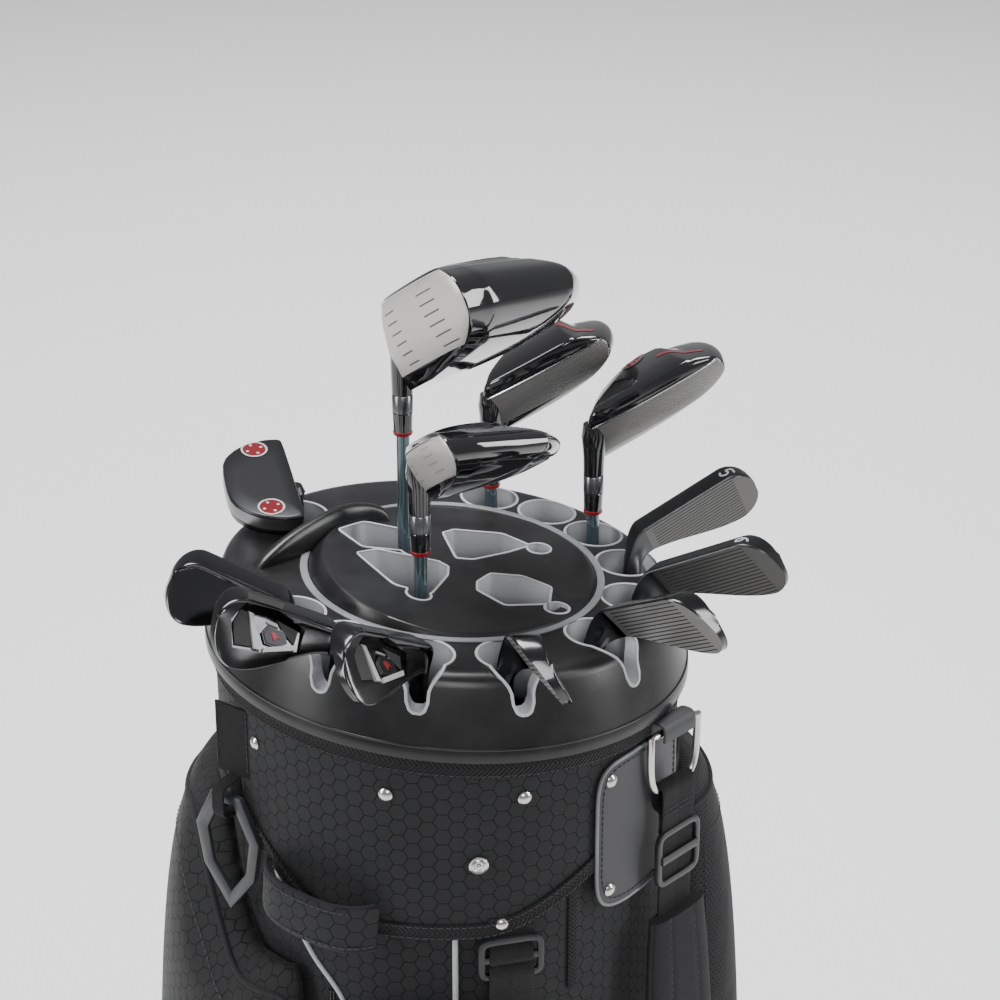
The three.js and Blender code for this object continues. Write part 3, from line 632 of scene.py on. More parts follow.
TOP_PLASTIC = Moulded("divider_top_plastic", (0.005, 0.005, 0.0056), 0.3, 0.03)
BASE_PLASTIC = Moulded("base_plastic", (0.01, 0.01, 0.011), 0.5, 0.09)
FITTING_PLASTIC = Moulded("fitting_plastic", (0.014, 0.0145, 0.0155), 0.36, 0.04)
RING_PLASTIC = Moulded("towel_ring_plastic", (0.026, 0.027, 0.031), 0.32, 0.03)
BORDER_GREY = Moulded("border_grey", (0.14, 0.144, 0.153), 0.45, 0.05)
OUTLINE_GREY = Moulded("outline_grey", (0.33, 0.335, 0.35), 0.42, 0.03)
WELL_GREY_PAINTED_SHADE = WellWall("well_wall_grey_painted_shade")
GLOSS_BLACK = Lacquer("gloss_black")
PUTTER_BLACK = Moulded("putter_black", (0.008, 0.008, 0.0085), 0.32, 0.03)
RED_LACQUER = Lacquer("red_lacquer", (0.14, 0.004, 0.009), (0.3, 0.02, 0.035), 0.12)
WHITE_ENAMEL = Beaded("white_enamel", (0.42, 0.42, 0.42), 0.5, 0.4)
RED_ENAMEL = Beaded("red_enamel", (0.26, 0.006, 0.014), 0.5, 0.35)
DARK_STEEL = Metal("dark_satin_steel", (0.06, 0.061, 0.064), 0.34, (0.12, 1.0, 1.0), 0.012)
RIM_STEEL = Metal("grey_satin_steel", (0.26, 0.26, 0.265), 0.33, (0.12, 1.0, 1.0), 0.012)
BRIGHT_STEEL = Metal("bright_steel", (0.62, 0.62, 0.62), 0.2, (0.15, 1.0, 1.0), 0.008)
NICKEL = Metal("nickel_plate", (0.66, 0.64, 0.6), 0.2, (1.0, 1.0, 1.0), 0.008)
WINDOW_GREY = Metal("window_grey", (0.16, 0.155, 0.15), 0.4, (0.3, 1.0, 1.0), 0.01)
DARK_CHROME = Metal("dark_chrome", (0.085, 0.085, 0.089), 0.17, (0.2, 1.0, 1.0), 0.006)
BAND_GREY = Metal("ferrule_band_grey", (0.22, 0.225, 0.24), 0.25, (1.0, 1.0, 0.2), 0.01)
SHAFT_LACQUER = Lacquer("shaft_lacquer", (0.1, 0.15, 0.175), (0.3, 0.38, 0.42), 0.2, 0.75)
HEX_CLOTH = Honeycomb("honeycomb_cloth")
POCKET_CLOTH = Honeycomb("pocket_cloth", 11.4, (0.0055, 0.0057, 0.0062), (0.002, 0.002, 0.0022), 0.08)
TRIM_WEB = Cloth("trim_webbing", Weave.HERRINGBONE, 3.4, (0.005, 0.005, 0.0055), 0.7)
STRAP_WEB = Cloth("strap_webbing", Weave.HERRINGBONE, 2.2, (0.0055, 0.0055, 0.006), 0.4)
PAD_KNIT = Cloth("pad_knit", Weave.KNIT, 1.2, (0.008, 0.008, 0.009), 0.2)
PIQUE = Cloth("pique_mesh", Weave.PIQUE, 3.0, (0.0065, 0.0065, 0.007), 0.6)
PLAIN_CLOTH = Cloth("plain_cloth", Weave.PLAIN, 0.9, (0.008, 0.008, 0.009), 0.15)
HOOK_CLOTH = Cloth("hook_cloth", Weave.HOOKS, 1.0, (0.004, 0.004, 0.0045), 0.6)
PATCH_LEATHER = Leather("patch_leather")
GRIP_RUBBER = Rubber("grip_rubber")
PIPING = Beaded("reflective_piping")
THREAD = Cloth("sewing_thread", Weave.PLAIN, 0.5, (0.03, 0.03, 0.032), 0.1)
CARBON = Carbon("carbon_panel")


# ---- meshes ----
@dataclass
class Shape:
    """A mesh in the making: points, faces, each face's corner places on the cloth, and each face's finish."""

    points: Array
    faces: list[tuple[int, ...]]
    places: list[Array]
    coats: list[int]

    @classmethod
    def grid(cls, points: Array, wrap_rows: bool = False, wrap_cols: bool = False, caps: bool = False,
             places: Array | None = None, coat: int | Callable[[int, int], int] = 0) -> Shape:
        """Faces over rows and columns of points.

        Args:
            points: rows by columns by 3.
            wrap_rows: whether the last row joins the first.
            wrap_cols: whether the last column joins the first.
            caps: whether the first and last rows are closed by a face.
            places: rows by columns by 2, with one more row or column where it wraps.
            coat: the finish's number, or a function of row and column.

        Returns:
            The shape.
        """
        rows, cols = points.shape[:2]
        if places is None:
            last = points if not wrap_cols else np.concatenate([points, points[:, :1]], 1)
            last = last if not wrap_rows else np.concatenate([last, last[:1]], 0)
            across = np.linalg.norm(np.diff(last, axis=1, prepend=last[:, :1]), axis=2).cumsum(1)
            along = np.linalg.norm(np.diff(last, axis=0, prepend=last[:1]), axis=2).cumsum(0)
            places = np.stack([along, across - across[:, -1:] / 2], 2)
        faces, uvs, coats = [], [], []
        for r in range(rows if wrap_rows else rows - 1):
            for c in range(cols if wrap_cols else cols - 1):
                r1, c1 = (r + 1) % rows, (c + 1) % cols
                faces.append((r * cols + c, r * cols + c1, r1 * cols + c1, r1 * cols + c))
                uvs.append(np.array([places[r, c], places[r, c + 1], places[r + 1, c + 1], places[r + 1, c]]))
                coats.append(coat(r, c) if callable(coat) else coat)
        flat = points.reshape(-1, 3)
        for r in (0, rows - 1) if caps else ():
            faces.append(tuple(r * cols + c for c in range(cols)))
            uvs.append(places[r, :cols])
            coats.append(coat(r, 0) if callable(coat) else coat)
        return cls(flat, faces, uvs, coats)

    def __add__(self, other: Shape) -> Shape:
        """Both shapes as one."""
        n = len(self.points)
        moved = [tuple(i + n for i in f) for f in other.faces]
        return Shape(np.vstack([self.points, other.points]), self.faces + moved, self.places + other.places,
                     self.coats + other.coats)

    def moved(self, place: Callable[[Array], Array]) -> Shape:
        """The same shape with its points put elsewhere."""
        return Shape(place(self.points), self.faces, self.places, self.coats)

    def coated(self, coat: int) -> Shape:
        """The same shape in one finish."""
        return Shape(self.points, self.faces, self.places, [coat] * len(self.faces))

    def piece(self, name: str, body: str, *finishes: Finish, slot: str = "", replaces: Sequence[str] = (),
              sharp: float = 35.0, bevel: float = 0.0) -> bpy.types.Object:
        """Makes the Blender object.

        Args:
            name: the piece's name.
            body: the CAD body it moves with.
            finishes: one material for each finish number.
            slot: the record's material slot; not used.
            replaces: CAD nodes it stands for.
            sharp: edges steeper than this many degrees stay sharp.
            bevel: width of a rounded edge, in millimetres.

        Returns:
            The object.
        """
        mesh = bpy.data.meshes.new(name)
        mesh.from_pydata((self.points * MM).tolist(), [], self.faces)
        layer = mesh.uv_layers.new(name="cloth")
        layer.data.foreach_set("uv", np.concatenate(self.places).astype(np.float32).ravel())
        mesh.polygons.foreach_set("material_index", np.array(self.coats, np.int32))
        for finish in finishes:
            mesh.materials.append(finish.material())
        work = bmesh.new()
        work.from_mesh(mesh)
        bmesh.ops.recalc_face_normals(work, faces=work.faces)
        work.to_mesh(mesh)
        work.free()
        mesh.polygons.foreach_set("use_smooth", [True] * len(mesh.polygons))
        mesh.set_sharp_from_angle(angle=math.radians(sharp))
        obj = bpy.data.objects.new(name, mesh)
        bpy.context.scene.collection.objects.link(obj)
        if bevel:
            edge = obj.modifiers.new("soft_edges", "BEVEL")
            edge.width, edge.segments, edge.limit_method = bevel * MM, 3, "ANGLE"
            edge.angle_limit = math.radians(40)
            edge.harden_normals = True
        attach(obj, body)
        if replaces:
            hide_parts(*replaces)
        return obj


def unit(v: Array) -> Array:
    """Vectors with length 1."""
    return v / np.maximum(np.linalg.norm(v, axis=-1, keepdims=True), 1e-9)


def round_section(radius: float, sides: int = 16, squash: float = 1.0) -> Array:
    """A circle or ellipse to sweep."""
    a = np.linspace(0, math.tau, sides, endpoint=False)
    return np.stack([radius * np.cos(a), radius * squash * np.sin(a)], 1)


def squarer(wave_value: Array, power: float) -> Array:
    """A sine or cosine pushed towards 1 and -1, for outlines between an ellipse and a rectangle."""
    return np.sign(wave_value) * np.abs(wave_value) ** power


def band_section(width: float, thick: float, corner: float = 0.45) -> Array:
    """A flat band's section with soft edges."""
    a = np.linspace(0, math.tau, 20, endpoint=False)
    return np.stack([width / 2 * squarer(np.cos(a), corner * 0.5), thick / 2 * squarer(np.sin(a), corner)], 1)


def sweep(path: Array, section: Array, up: Array, closed: bool = False, coat: int = 0) -> Shape:
    """A section carried along a path.

    Args:
        path: points of the path.
        section: offsets sideways and upwards.
        up: the way up, one vector or one for each point.
        closed: whether the path joins itself.
        coat: the finish's number.

    Returns:
        The swept shape, whose cloth place is along the path and across the section.
    """
    ahead = np.roll(path, -1, 0) - np.roll(path, 1, 0)
    if not closed:
        ahead[0], ahead[-1] = path[1] - path[0], path[-1] - path[-2]
    ahead = unit(ahead)
    side = unit(np.cross(ahead, np.broadcast_to(up, path.shape)))
    rise = np.cross(side, ahead)
    rings = path[:, None] + side[:, None] * section[None, :, :1] + rise[:, None] * section[None, :, 1:]
    looped = np.vstack([path, path[:1]]) if closed else path
    run = np.linalg.norm(np.diff(looped, axis=0, prepend=looped[:1]), axis=1).cumsum()
    width = np.append(section[:, 0], section[0, 0])
    places = np.stack(np.meshgrid(run, width, indexing="ij"), 2)
    return Shape.grid(rings, wrap_rows=closed, wrap_cols=True, caps=not closed, places=places, coat=coat)


def lathe(profile: Sequence[Sequence[float]], sides: int = 96, tilt: Sequence[float] | None = None,
          closed: bool = False) -> Shape:
    """A profile of radius and height turned round the bag's axis.

    Args:
        profile: radius and height pairs.
        sides: steps round the axis.
        tilt: how much of the deck's tilt each pair takes.
        closed: whether the profile joins itself.

    Returns:
        The turned shape.
    """
    p = np.asarray(profile, float)
    a = np.linspace(0, math.tau, sides, endpoint=False)
    share = np.ones(len(p)) if tilt is None else np.asarray(tilt, float)
    x, y = p[:, None, 0] * np.cos(a), p[:, None, 0] * np.sin(a)
    z = p[:, None, 1] + share[:, None] * TILT * x
    turn = np.linspace(0, math.tau, sides + 1)
    run = np.linalg.norm(np.diff(p, axis=0, prepend=p[:1]), axis=1).cumsum()
    rows = len(p) + (1 if closed else 0)
    run = np.append(run, run[-1] + 5)[:rows]
    radius = np.append(p[:, 0], p[0, 0])[:rows]
    places = np.stack([radius[:, None] * turn, np.broadcast_to(run[:, None], (rows, sides + 1))], 2)
    return Shape.grid(np.stack([x, y, z], 2), wrap_rows=closed, wrap_cols=True, places=places)


def slab(outline: Array, thick: float, coat: int = 0, inset: float = 0.4) -> Shape:
    """A flat plate with softened top edges, from z 0 to thick, with the outline's own places."""
    middle = outline.mean(0)
    rings = []
    for z, pull in ((0, 0), (thick - inset, 0), (thick, inset)):
        away = outline - middle
        r = np.linalg.norm(away, axis=1, keepdims=True)
        ring = middle + away * (1 - pull / np.maximum(r, 1e-6))
        rings.append(np.column_stack([ring, np.full(len(ring), z)]))
    points = np.stack(rings)
    places = np.concatenate([points[..., :2], points[:, :1, :2]], 1)
    return Shape.grid(points, wrap_cols=True, caps=True, places=places, coat=coat)


def stitches(path: Array, up: Array, length: float = 3.0, gap: float = 1.6, radius: float = 0.45) -> Shape:
    """A row of sewn stitches along a path, each a small spindle lying on the cloth."""
    run = np.linalg.norm(np.diff(path, axis=0, prepend=path[:1]), axis=1).cumsum()
    ups = np.broadcast_to(up, path.shape)
    starts = np.arange(0, run[-1] - length, length + gap)
    at = lambda s, field: np.stack([np.interp(s, run, field[:, k]) for k in range(3)], -1)
    out = None
    for s in starts:
        ends = at(np.array([s, s + 0.2 * length, s + 0.8 * length, s + length]), path)
        lift = unit(at(np.array([s]), ups))
        tube = sweep(ends + lift * np.array([[-0.3], [0.6], [0.6], [-0.3]]) * radius,
                     round_section(radius, 6), lift)
        out = tube if out is None else out + tube
    return out


# ---- placing ----
@dataclass(frozen=True)
class Place:
    """A local frame: its origin, and its axes as rows."""

    origin: Array
    axes: Array

    def out(self, points: Array) -> Array:
        """Local points in the row's frame."""
        return self.origin + np.asarray(points, float) @ self.axes

    def swung(self, deg: float) -> Place:
        """The same frame turned about the upright through its origin."""
        c, s = polar(1, deg)
        return Place(self.origin, self.axes @ np.array([[c, s, 0], [-s, c, 0], [0, 0, 1]]))


UP = np.array([0.0, 0.0, 1.0])


def facing_out(r: float, deg: float, z: float) -> Place:
    """A frame on the bag's side: X outwards, Y round the bag, Z up."""
    c, s = polar(1, deg)
    return Place(np.array([r * c, r * s, z]), np.array([[c, s, 0], [-s, c, 0], [0, 0, 1]]))


def on_bag(r: Array | float, deg: Array, z: Array) -> Array:
    """Points at a radius, angle and height."""
    a = np.radians(np.asarray(deg, float))
    r, a, z = np.broadcast_arrays(r, a, z)
    return np.stack([r * np.cos(a), r * np.sin(a), z], -1)


def outwards(points: Array) -> Array:
    """The level direction away from the bag's axis, at each point."""
    return unit(points * np.array([1, 1, 0]))


def ribbon(path: Array, across: Array, width: float, thick: float) -> Shape:
    """A flat band whose width lies along a given direction."""
    ahead = np.gradient(path, axis=0)
    return sweep(path, band_section(width, thick), unit(np.cross(across, ahead)))


def turned(x: float, y: float, profile: Sequence[Sequence[float]], sides: int = 40,
           coats: Sequence[int] = ()) -> Shape:
    """A profile of radius and height turned round an upright axis, closed at its ends."""
    a = np.linspace(0, math.tau, sides, endpoint=False)
    rings = np.stack([np.stack([x + r * np.cos(a), y + r * np.sin(a), np.full(sides, z)], 1) for r,
                      z in profile])
    turn = np.linspace(0, math.tau, sides + 1)
    places = np.stack([np.stack([np.full(sides + 1, z), r * turn], 1) for r, z in profile])
    pick = (lambda r, c: coats[min(r, len(coats) - 1)]) if coats else 0
    return Shape.grid(rings, wrap_cols=True, caps=True, places=places, coat=pick)


def carve(body: bpy.types.Object, cutter: Shape) -> None:
    """Cuts a closed shape out of an object, for good."""
    tool = cutter.piece("cutter", "bag", PLAIN_CLOTH)
    step = body.modifiers.new("carve", "BOOLEAN")
    step.operation, step.solver, step.object = "DIFFERENCE", "MANIFOLD", tool
    settle(body)
    body.data.set_sharp_from_angle(angle=math.radians(32))
    bpy.data.objects.remove(tool)


def settle(obj: bpy.types.Object) -> None:
    """Makes an object's modifiers part of its mesh."""
    bpy.context.view_layer.update()
    evaluated = obj.evaluated_get(bpy.context.evaluated_depsgraph_get())
    mesh = bpy.data.meshes.new_from_object(evaluated)
    obj.modifiers.clear()
    obj.data = mesh


def joined(shapes: Sequence[Shape]) -> Shape:
    """Several shapes as one."""
    total = shapes[0]
    for shape in shapes[1:]:
        total = total + shape
    return total


# ---- the divider top ----
SKIRT = np.array([[90, 0], [143, 0], [148, -0.7], [152, -2.2], [154.6, -5], [156.2, -9], [159.6, -20],
                  [163, -32],
                  [166.6, -45], [167.9, -50], [168.3, -53], [168, -57]], float)
NOTCH_HALF = np.array([[-27, 0], [-26.5, 2.6], [-25, 5], [-20, 7], [-13, 7.5], [-9, 9], [-5, 12], [-1, 16.5],
                       [1, 19], [60, 19]], float)


@dataclass(frozen=True)
class OuterWell:
    """A round well for one iron at the edge of the deck, with or without a slot through the skirt."""

    deg: float
    notch: bool
    r: float = WELL_RING_R
    radius: float = WELL_R

    @property
    def middle(self) -> Array:
        """Plan position of the well."""
        return polar(self.r, self.deg)

    def half_width(self, z: Array) -> Array:
        """Half the slot's width at a height."""
        return np.interp(z - deck_z(1.2 * self.middle[0]), NOTCH_HALF[:, 0], NOTCH_HALF[:, 1])

    def spot(self, ahead: Array, aside: Array) -> Array:
        """Plan positions from distances out from the bag's axis and sideways."""
        c, s = polar(1, self.deg)
        return np.stack([ahead * c - aside * s, ahead * s + aside * c], -1)

    def rim(self) -> Array:
        """The edge of the well and of its slot, on the deck and the skirt."""
        if not self.notch:
            turn = np.linspace(0, math.tau, 72, endpoint=False)
            plan = self.spot(self.r + self.radius * np.cos(turn), self.radius * np.sin(turn))
            return on_skirt(plan)
        ahead = np.concatenate([np.arange(self.r, 154, 0.8), np.arange(154, 168, 0.2)])
        aside = np.full_like(ahead, 10.0)
        for _ in range(40):
            aside = 0.5 * aside + 0.5 * self.half_width(on_skirt(self.spot(ahead, aside))[:, 2])
        outside = (np.hypot(ahead - self.r, aside) > self.radius) & (aside > 0.4)
        ahead, aside = ahead[outside], aside[outside]
        start = math.atan2(aside[0], ahead[0] - self.r)
        turn = np.linspace(math.tau - start, start, 60)
        ring = self.spot(self.r + self.radius * np.cos(turn), self.radius * np.sin(turn))
        side, back = self.spot(ahead, aside), self.spot(ahead, -aside)[::-1]
        return on_skirt(np.vstack([ring, side, back]))

    def slot(self) -> Shape:
        """The solid cut away for the slot."""
        z, half = NOTCH_HALF[:, 0], NOTCH_HALF[:, 1]
        outline = np.vstack([np.stack([half, z], 1), np.stack([-half[:0:-1], z[:0:-1]], 1)])
        rings = []
        for ahead in (self.r, self.r + 60):
            plan = self.spot(np.full(len(outline), ahead), outline[:, 0])
            rings.append(np.column_stack([plan, outline[:, 1] + deck_z(1.2 * self.middle[0])]))
        return Shape.grid(np.stack(rings), wrap_cols=True, caps=True)

    def hole(self, low: float = DECK_Z - 90, high: float = DECK_Z + 70) -> Shape:
        """The upright hole."""
        return turned(*self.middle, [(self.radius, low), (self.radius, high)], 72)

    def liner(self) -> Shape:
        """The well's wall, closed like a pipe."""
        return wall(self.rim_circle(self.radius), 1.3)

    def slot_wall(self) -> Shape:
        """The lining of the slot, from the well to the skirt."""
        level = deck_z(1.2 * self.middle[0])
        up = np.concatenate([np.linspace(-1.5, -26.2, 30), np.full(9, -26.4), np.linspace(-26.2, -1.5, 30)])
        half = np.maximum(np.interp(up, NOTCH_HALF[:, 0], NOTCH_HALF[:, 1]) - 0.4, 0)
        aside = np.concatenate([half[:30], np.linspace(half[29], -half[39], 9), -half[39:]])
        reach = np.arange(120.0, 168.0, 0.25)
        start = self.r + np.sqrt(np.maximum(self.radius ** 2 - aside ** 2, 0)) - 0.6
        ends = []
        for w, z in zip(aside, up + level):
            skirt = on_skirt(self.spot(reach, np.full_like(reach, w)))[:, 2]
            ends.append(np.interp(-z, -skirt, reach) - 0.5)
        share = np.linspace(0, 1, 8)[:, None]
        ahead = start + (np.maximum(ends, start) - start) * share
        plan = self.spot(ahead, np.broadcast_to(aside, ahead.shape))
        points = np.concatenate([plan, np.broadcast_to((up + level)[:, None], (*ahead.shape, 1))], -1)
        # this depth picks the painted shade of the wall's finish: a little darker at the well end than at the skirt
        depth = np.broadcast_to((16 - 10 * share), ahead.shape)
        return Shape.grid(points, places=np.stack([np.broadcast_to(np.arange(len(up)) * 1.6, ahead.shape),
            depth], -1))

    def rim_circle(self, radius: float) -> Array:
        """Plan positions round the well."""
        turn = np.linspace(0, math.tau, 72, endpoint=False)
        return self.spot(self.r + radius * np.cos(turn), radius * np.sin(turn))


def on_skirt(plan: Array) -> Array:
    """Points of the deck and skirt over plan positions."""
    r = np.hypot(plan[:, 0], plan[:, 1])
    return np.column_stack([plan, deck_z(plan[:, 0]) + np.interp(r, SKIRT[:, 0], SKIRT[:, 1])])


def skirt_normal(points: Array) -> Array:
    """The way out of the deck or skirt at its points."""
    r = np.hypot(points[:, 0], points[:, 1])
    slope = (np.interp(r + 0.6, SKIRT[:, 0], SKIRT[:, 1]) - np.interp(r - 0.6, SKIRT[:, 0],
                                                                      SKIRT[:, 1])) / 1.2
    return unit(np.column_stack([-slope * points[:, 0] / r, -slope * points[:, 1] / r, np.ones(len(r))]))


def wall(plan: Array, thick: float, top: Callable[[Array], Array] = on_skirt) -> Shape:
    """A thin wall just inside an outline, down to the wells' depth, whose cloth place across is the depth."""
    ahead = np.roll(plan, -1, 0) - np.roll(plan, 1, 0)
    away = unit(np.stack([ahead[:, 1], -ahead[:, 0]], 1))
    turned_in = np.sum(plan[:, 0] * np.roll(plan[:, 1], -1) - np.roll(plan[:, 0], -1) * plan[:, 1]) < 0
    away = -away if turned_in else away
    inner, outer = top(plan - away * 0.45), top(plan + away * thick)
    lift = np.array([0, 0, 0.5])
    low = lambda ring: np.column_stack([ring[:, :2], np.full(len(ring), DECK_Z - WELL_DEPTH)])
    rings = np.stack([inner - lift, low(inner), low(outer), outer - lift])
    run = np.arange(len(plan) + 1) * 2.0
    # the depth set here drives the painted shade down the well walls
    places = np.stack([np.stack([run, np.full(len(run), depth)], 1) for depth in (0, WELL_DEPTH, WELL_DEPTH,
                                                                                  0, 0)])
    return Shape.grid(rings, wrap_rows=True, wrap_cols=True, places=places)


def inside(points: Array, outline: Array) -> Array:
    """Which points lie inside a closed outline."""
    a, b = outline, np.roll(outline, -1, 0)
    x, y = points[:, None, 0], points[:, None, 1]
    crosses = (a[:, 1] > y) != (b[:, 1] > y)
    at = a[:, 0] + (y - a[:, 1]) * (b[:, 0] - a[:, 0]) / np.where(b[:, 1] == a[:, 1], 1e-9, b[:, 1] - a[:, 1])
    return (crosses & (x < at)).sum(1) % 2 == 1


@dataclass(frozen=True)
class InnerWell:
    """A faceted well in the raised middle, with a small round lobe that a shaft rests in."""

    corners: tuple[tuple[float, float], ...]
    lobe: tuple[float, float]
    lobe_r: float = 8.5

    def outline(self) -> Array:
        """The edge of the faceted hole and its lobe together."""
        c = np.asarray(self.corners, float)
        edge = np.vstack([np.linspace(c[i], c[(i + 1) % len(c)], 14, endpoint=False) for i in range(len(c))])
        for _ in range(2):
            edge = 0.5 * edge + 0.25 * (np.roll(edge, 1, 0) + np.roll(edge, -1, 0))
        middle = np.array(self.lobe)
        near = np.hypot(*(edge - middle).T) < self.lobe_r
        if not near.any():
            return edge
        first = next(i for i in range(len(near)) if near[i] and not near[i - 1])
        edge, near = np.roll(edge, -first, 0), np.roll(near, -first)
        kept = edge[int(near.sum()):]
        a0, a1 = (math.atan2(*(p - middle)[::-1]) for p in (kept[-1], kept[0]))
        for turn in ((a1 - a0) % math.tau, (a1 - a0) % math.tau - math.tau):
            arc = middle + self.lobe_r * np.array([[math.cos(a0 + turn * f),
                math.sin(a0 + turn * f)] for f in np.linspace(0.04, 0.96, 22)])
            if not inside(arc[10:12], edge).any():
                return np.vstack([kept, arc])
        return kept


def plateau_z(x: Array | float) -> Array | float:
    """Height of the raised middle, with its crease softened."""
    return deck_z(x) + PLATEAU_LIFT + PLATEAU_RISE * 0.5 * (np.sqrt(np.square(x) + 60) - x) - 0.3


def plateau_ring(inset: float, lean: float, share: float, count: int = 240) -> Array:
    """An outline of the raised middle; share goes from the deck, 0, to its top, 1."""
    deg = np.linspace(0, 360, count, endpoint=False)
    lean_in = 3 + 11 * np.maximum(0, -np.cos(np.radians(deg + 35)))
    waist = 9 * np.maximum(0, np.cos(np.radians(deg - 165))) ** 2
    ring = on_bag(PLATEAU_R - waist - lean * lean_in - inset, deg, 0)
    ring[:, 2] = deck_z(ring[:, 0]) * (1 - share) + plateau_z(ring[:, 0]) * share
    return ring


@dataclass
class DividerTop:
    """The moulded top: a skirt and deck with outer wells, and a raised middle with four faceted wells."""

    outer: tuple[OuterWell, ...] = tuple(
        OuterWell(deg, notch)
        for deg, notch in ((77, False), (56.5, False), (36, False), (14, True),
                           (-10, True), (-38.5, True), (-71, True),
                           (-96, True), (-120, True), (-141, True))
    ) + (OuterWell(146, False, 129),)
    inner: tuple[InnerWell, ...] = (
        InnerWell(((-76, 22), (-59, 43), (-18, 43), (-12, 17), (-30, 9), (-58, 2)), (-24, 12)),
        InnerWell(((-62, -9), (-48, 3), (-6, 3), (1, -3), (1, -16), (-10, -50), (-35, -46)), (-18, -53)),
        InnerWell(((-4, 50), (4, 58), (38, 58), (58, 42), (42, 28), (18, 12), (6, 12)), (64, 38)),
        InnerWell(((21, -35), (21, -22), (30, -8), (52, -8), (72, -22), (70, -48), (40, -55)), (75, -53)),
    )

    def build(self) -> None:
        """Makes every piece of the top."""
        self.skirt()
        self.middle()
        self.walls()
        self.edges()
        self.lip()
        LOG.info("divider top: %d outer and %d inner wells", len(self.outer), len(self.inner))

    def skirt(self) -> None:
        """The deck and the skirt round it, one moulding with its holes and slots."""
        inner = [(164.6, -57), (164.4, -50), (159.4, -32), (152, -12), (147, -6), (90, -5)]
        profile = np.vstack([SKIRT, inner]) + [0, DECK_Z]
        body = lathe(profile, 288, closed=True).piece("top_skirt", "bag", TOP_PLASTIC, slot="moulded_plastic",
            replaces=["divider_top"])
        carve(body, joined([w.hole() for w in self.outer]))
        carve(body, joined([w.slot() for w in self.outer if w.notch]))
        groove = on_bag(167.2, np.linspace(0, 360, 240, endpoint=False), 0)
        groove[:, 2] = rim_z(groove[:, 0]) + 9.5
        sweep(groove, round_section(0.9, 10), UP, closed=True).piece("skirt_bead", "bag", TOP_PLASTIC,
            slot="moulded_plastic")

    def middle(self) -> None:
        """The raised middle with its four wells."""
        rings = [plateau_ring(0, 0, -0.6), plateau_ring(0, 0, 0.0), plateau_ring(0, 0.5, 0.5),
                 plateau_ring(0, 0.86, 0.86),
                 plateau_ring(0.5, 0.96, 0.96), plateau_ring(1.6, 1, 1.0)]
        rings += [plateau_ring(inset, 1, 1.0) for inset in np.linspace(6, 84, 18)]
        base = [plateau_ring(inset, 0, -0.6) for inset in np.linspace(84, 6, 12)]
        shape = Shape.grid(np.stack(base + rings), wrap_cols=True, caps=True)
        body = shape.piece("top_middle", "bag", TOP_PLASTIC, slot="moulded_plastic")
        cutters = []
        for well in self.inner:
            plan = well.outline()
            cutters.append(Shape.grid(np.stack([np.column_stack([plan,
                np.full(len(plan), z)]) for z in (DECK_Z - 80, DECK_Z + 70)]), wrap_cols=True, caps=True))
        carve(body, joined(cutters))

    def walls(self) -> None:
        """Light walls inside the wells."""
        outer = joined([w.liner() for w in self.outer]).piece("outer_well_walls", "bag", WELL_GREY_PAINTED_SHADE,
            slot="grey_trim")
        carve(outer, joined([w.slot() for w in self.outer if w.notch]))
        on_top = lambda plan: np.column_stack([plan, plateau_z(plan[:, 0])])
        inner = [wall(w.outline(), 1.2, on_top) for w in self.inner]
        joined(inner).piece("inner_well_walls", "bag", WELL_GREY_PAINTED_SHADE, slot="grey_trim")
        slots = joined([w.slot_wall() for w in self.outer if w.notch])
        slots.piece("slot_walls", "bag", WELL_GREY_PAINTED_SHADE, slot="grey_trim")

    def edges(self) -> None:
        """Light lines round every well, and the grey band round the raised middle."""
        lines = []
        for well in self.outer:
            path = well.rim()
            lines.append(sweep(path, band_section(2.1, 1.2, 0.8), skirt_normal(path), closed=True))
        for well in self.inner:
            plan = well.outline()
            path = np.column_stack([plan, plateau_z(plan[:, 0]) + 0.1])
            lines.append(sweep(path, band_section(1.7, 1.0, 0.8), UP, closed=True))
        joined(lines).piece("well_outlines", "bag", OUTLINE_GREY, slot="grey_trim")
        path = plateau_ring(-2.4, 0, 0.0)
        path[:, 2] += 0.5
        band = sweep(path, band_section(5.4, 1.8, 0.8), UP, closed=True)
        band.piece("middle_border", "bag", BORDER_GREY, slot="grey_trim", replaces=["deck_trim"])

    def lip(self) -> None:
        """The rounded ridge for a hand, from the rear of the middle out over the deck."""
        spots = [(-40, 58, 4), (-45, 56.5, 16), (-60, 50, 22), (-76, 37.5, 23.5), (-92, 20, 21),
                 (-110, 1, 15),
                 (-124, -14, 7), (-131, -21, 0)]
        path = curve_through(spots, 10, False)
        ahead = unit(np.gradient(path[:, :2], axis=0))
        rings = []
        for k, (x, y, rise) in enumerate(path):
            end = min(1.0, k / 8, (len(path) - 1 - k) / 14)
            half, foot = 5.4 * (0.45 + 0.55 * math.sqrt(end)), deck_z(x) - 2.0
            arch = [(half * 1.15, 0.0), (half * 1.05, 0.45), (half * 0.96, 0.72), (half * 0.78, 0.87),
                    (half * 0.45, 0.97), (0.0, 1.0)]
            arch += [(-w, share) for w, share in arch[-2::-1]]
            fine = curve_through(arch, 3, False)
            aside = np.outer(fine[:, 0], [-ahead[k, 1], ahead[k, 0]])
            rings.append(np.column_stack([x + aside[:, 0], y + aside[:, 1],
                                          foot + fine[:, 1] * (rise + 2.0)]))
        Shape.grid(np.stack(rings), wrap_cols=True, caps=True).piece("grab_lip", "bag", TOP_PLASTIC,
            slot="moulded_plastic")


# ---- the bag ----
def wave(a: Array, b: Array, seed: float) -> Array:
    """Soft folds over two coordinates, between -1 and 1."""
    total = 0.0
    for k in range(1, 6):
        across = np.sin(a * (0.9 + 0.71 * k) + seed * k + 1.3 * np.sin(b * 0.8 * k + seed))
        total = total + across * np.sin(b * (0.6 + 0.5 * k) + seed * 2.1 * k) / k
    return total / 2.0


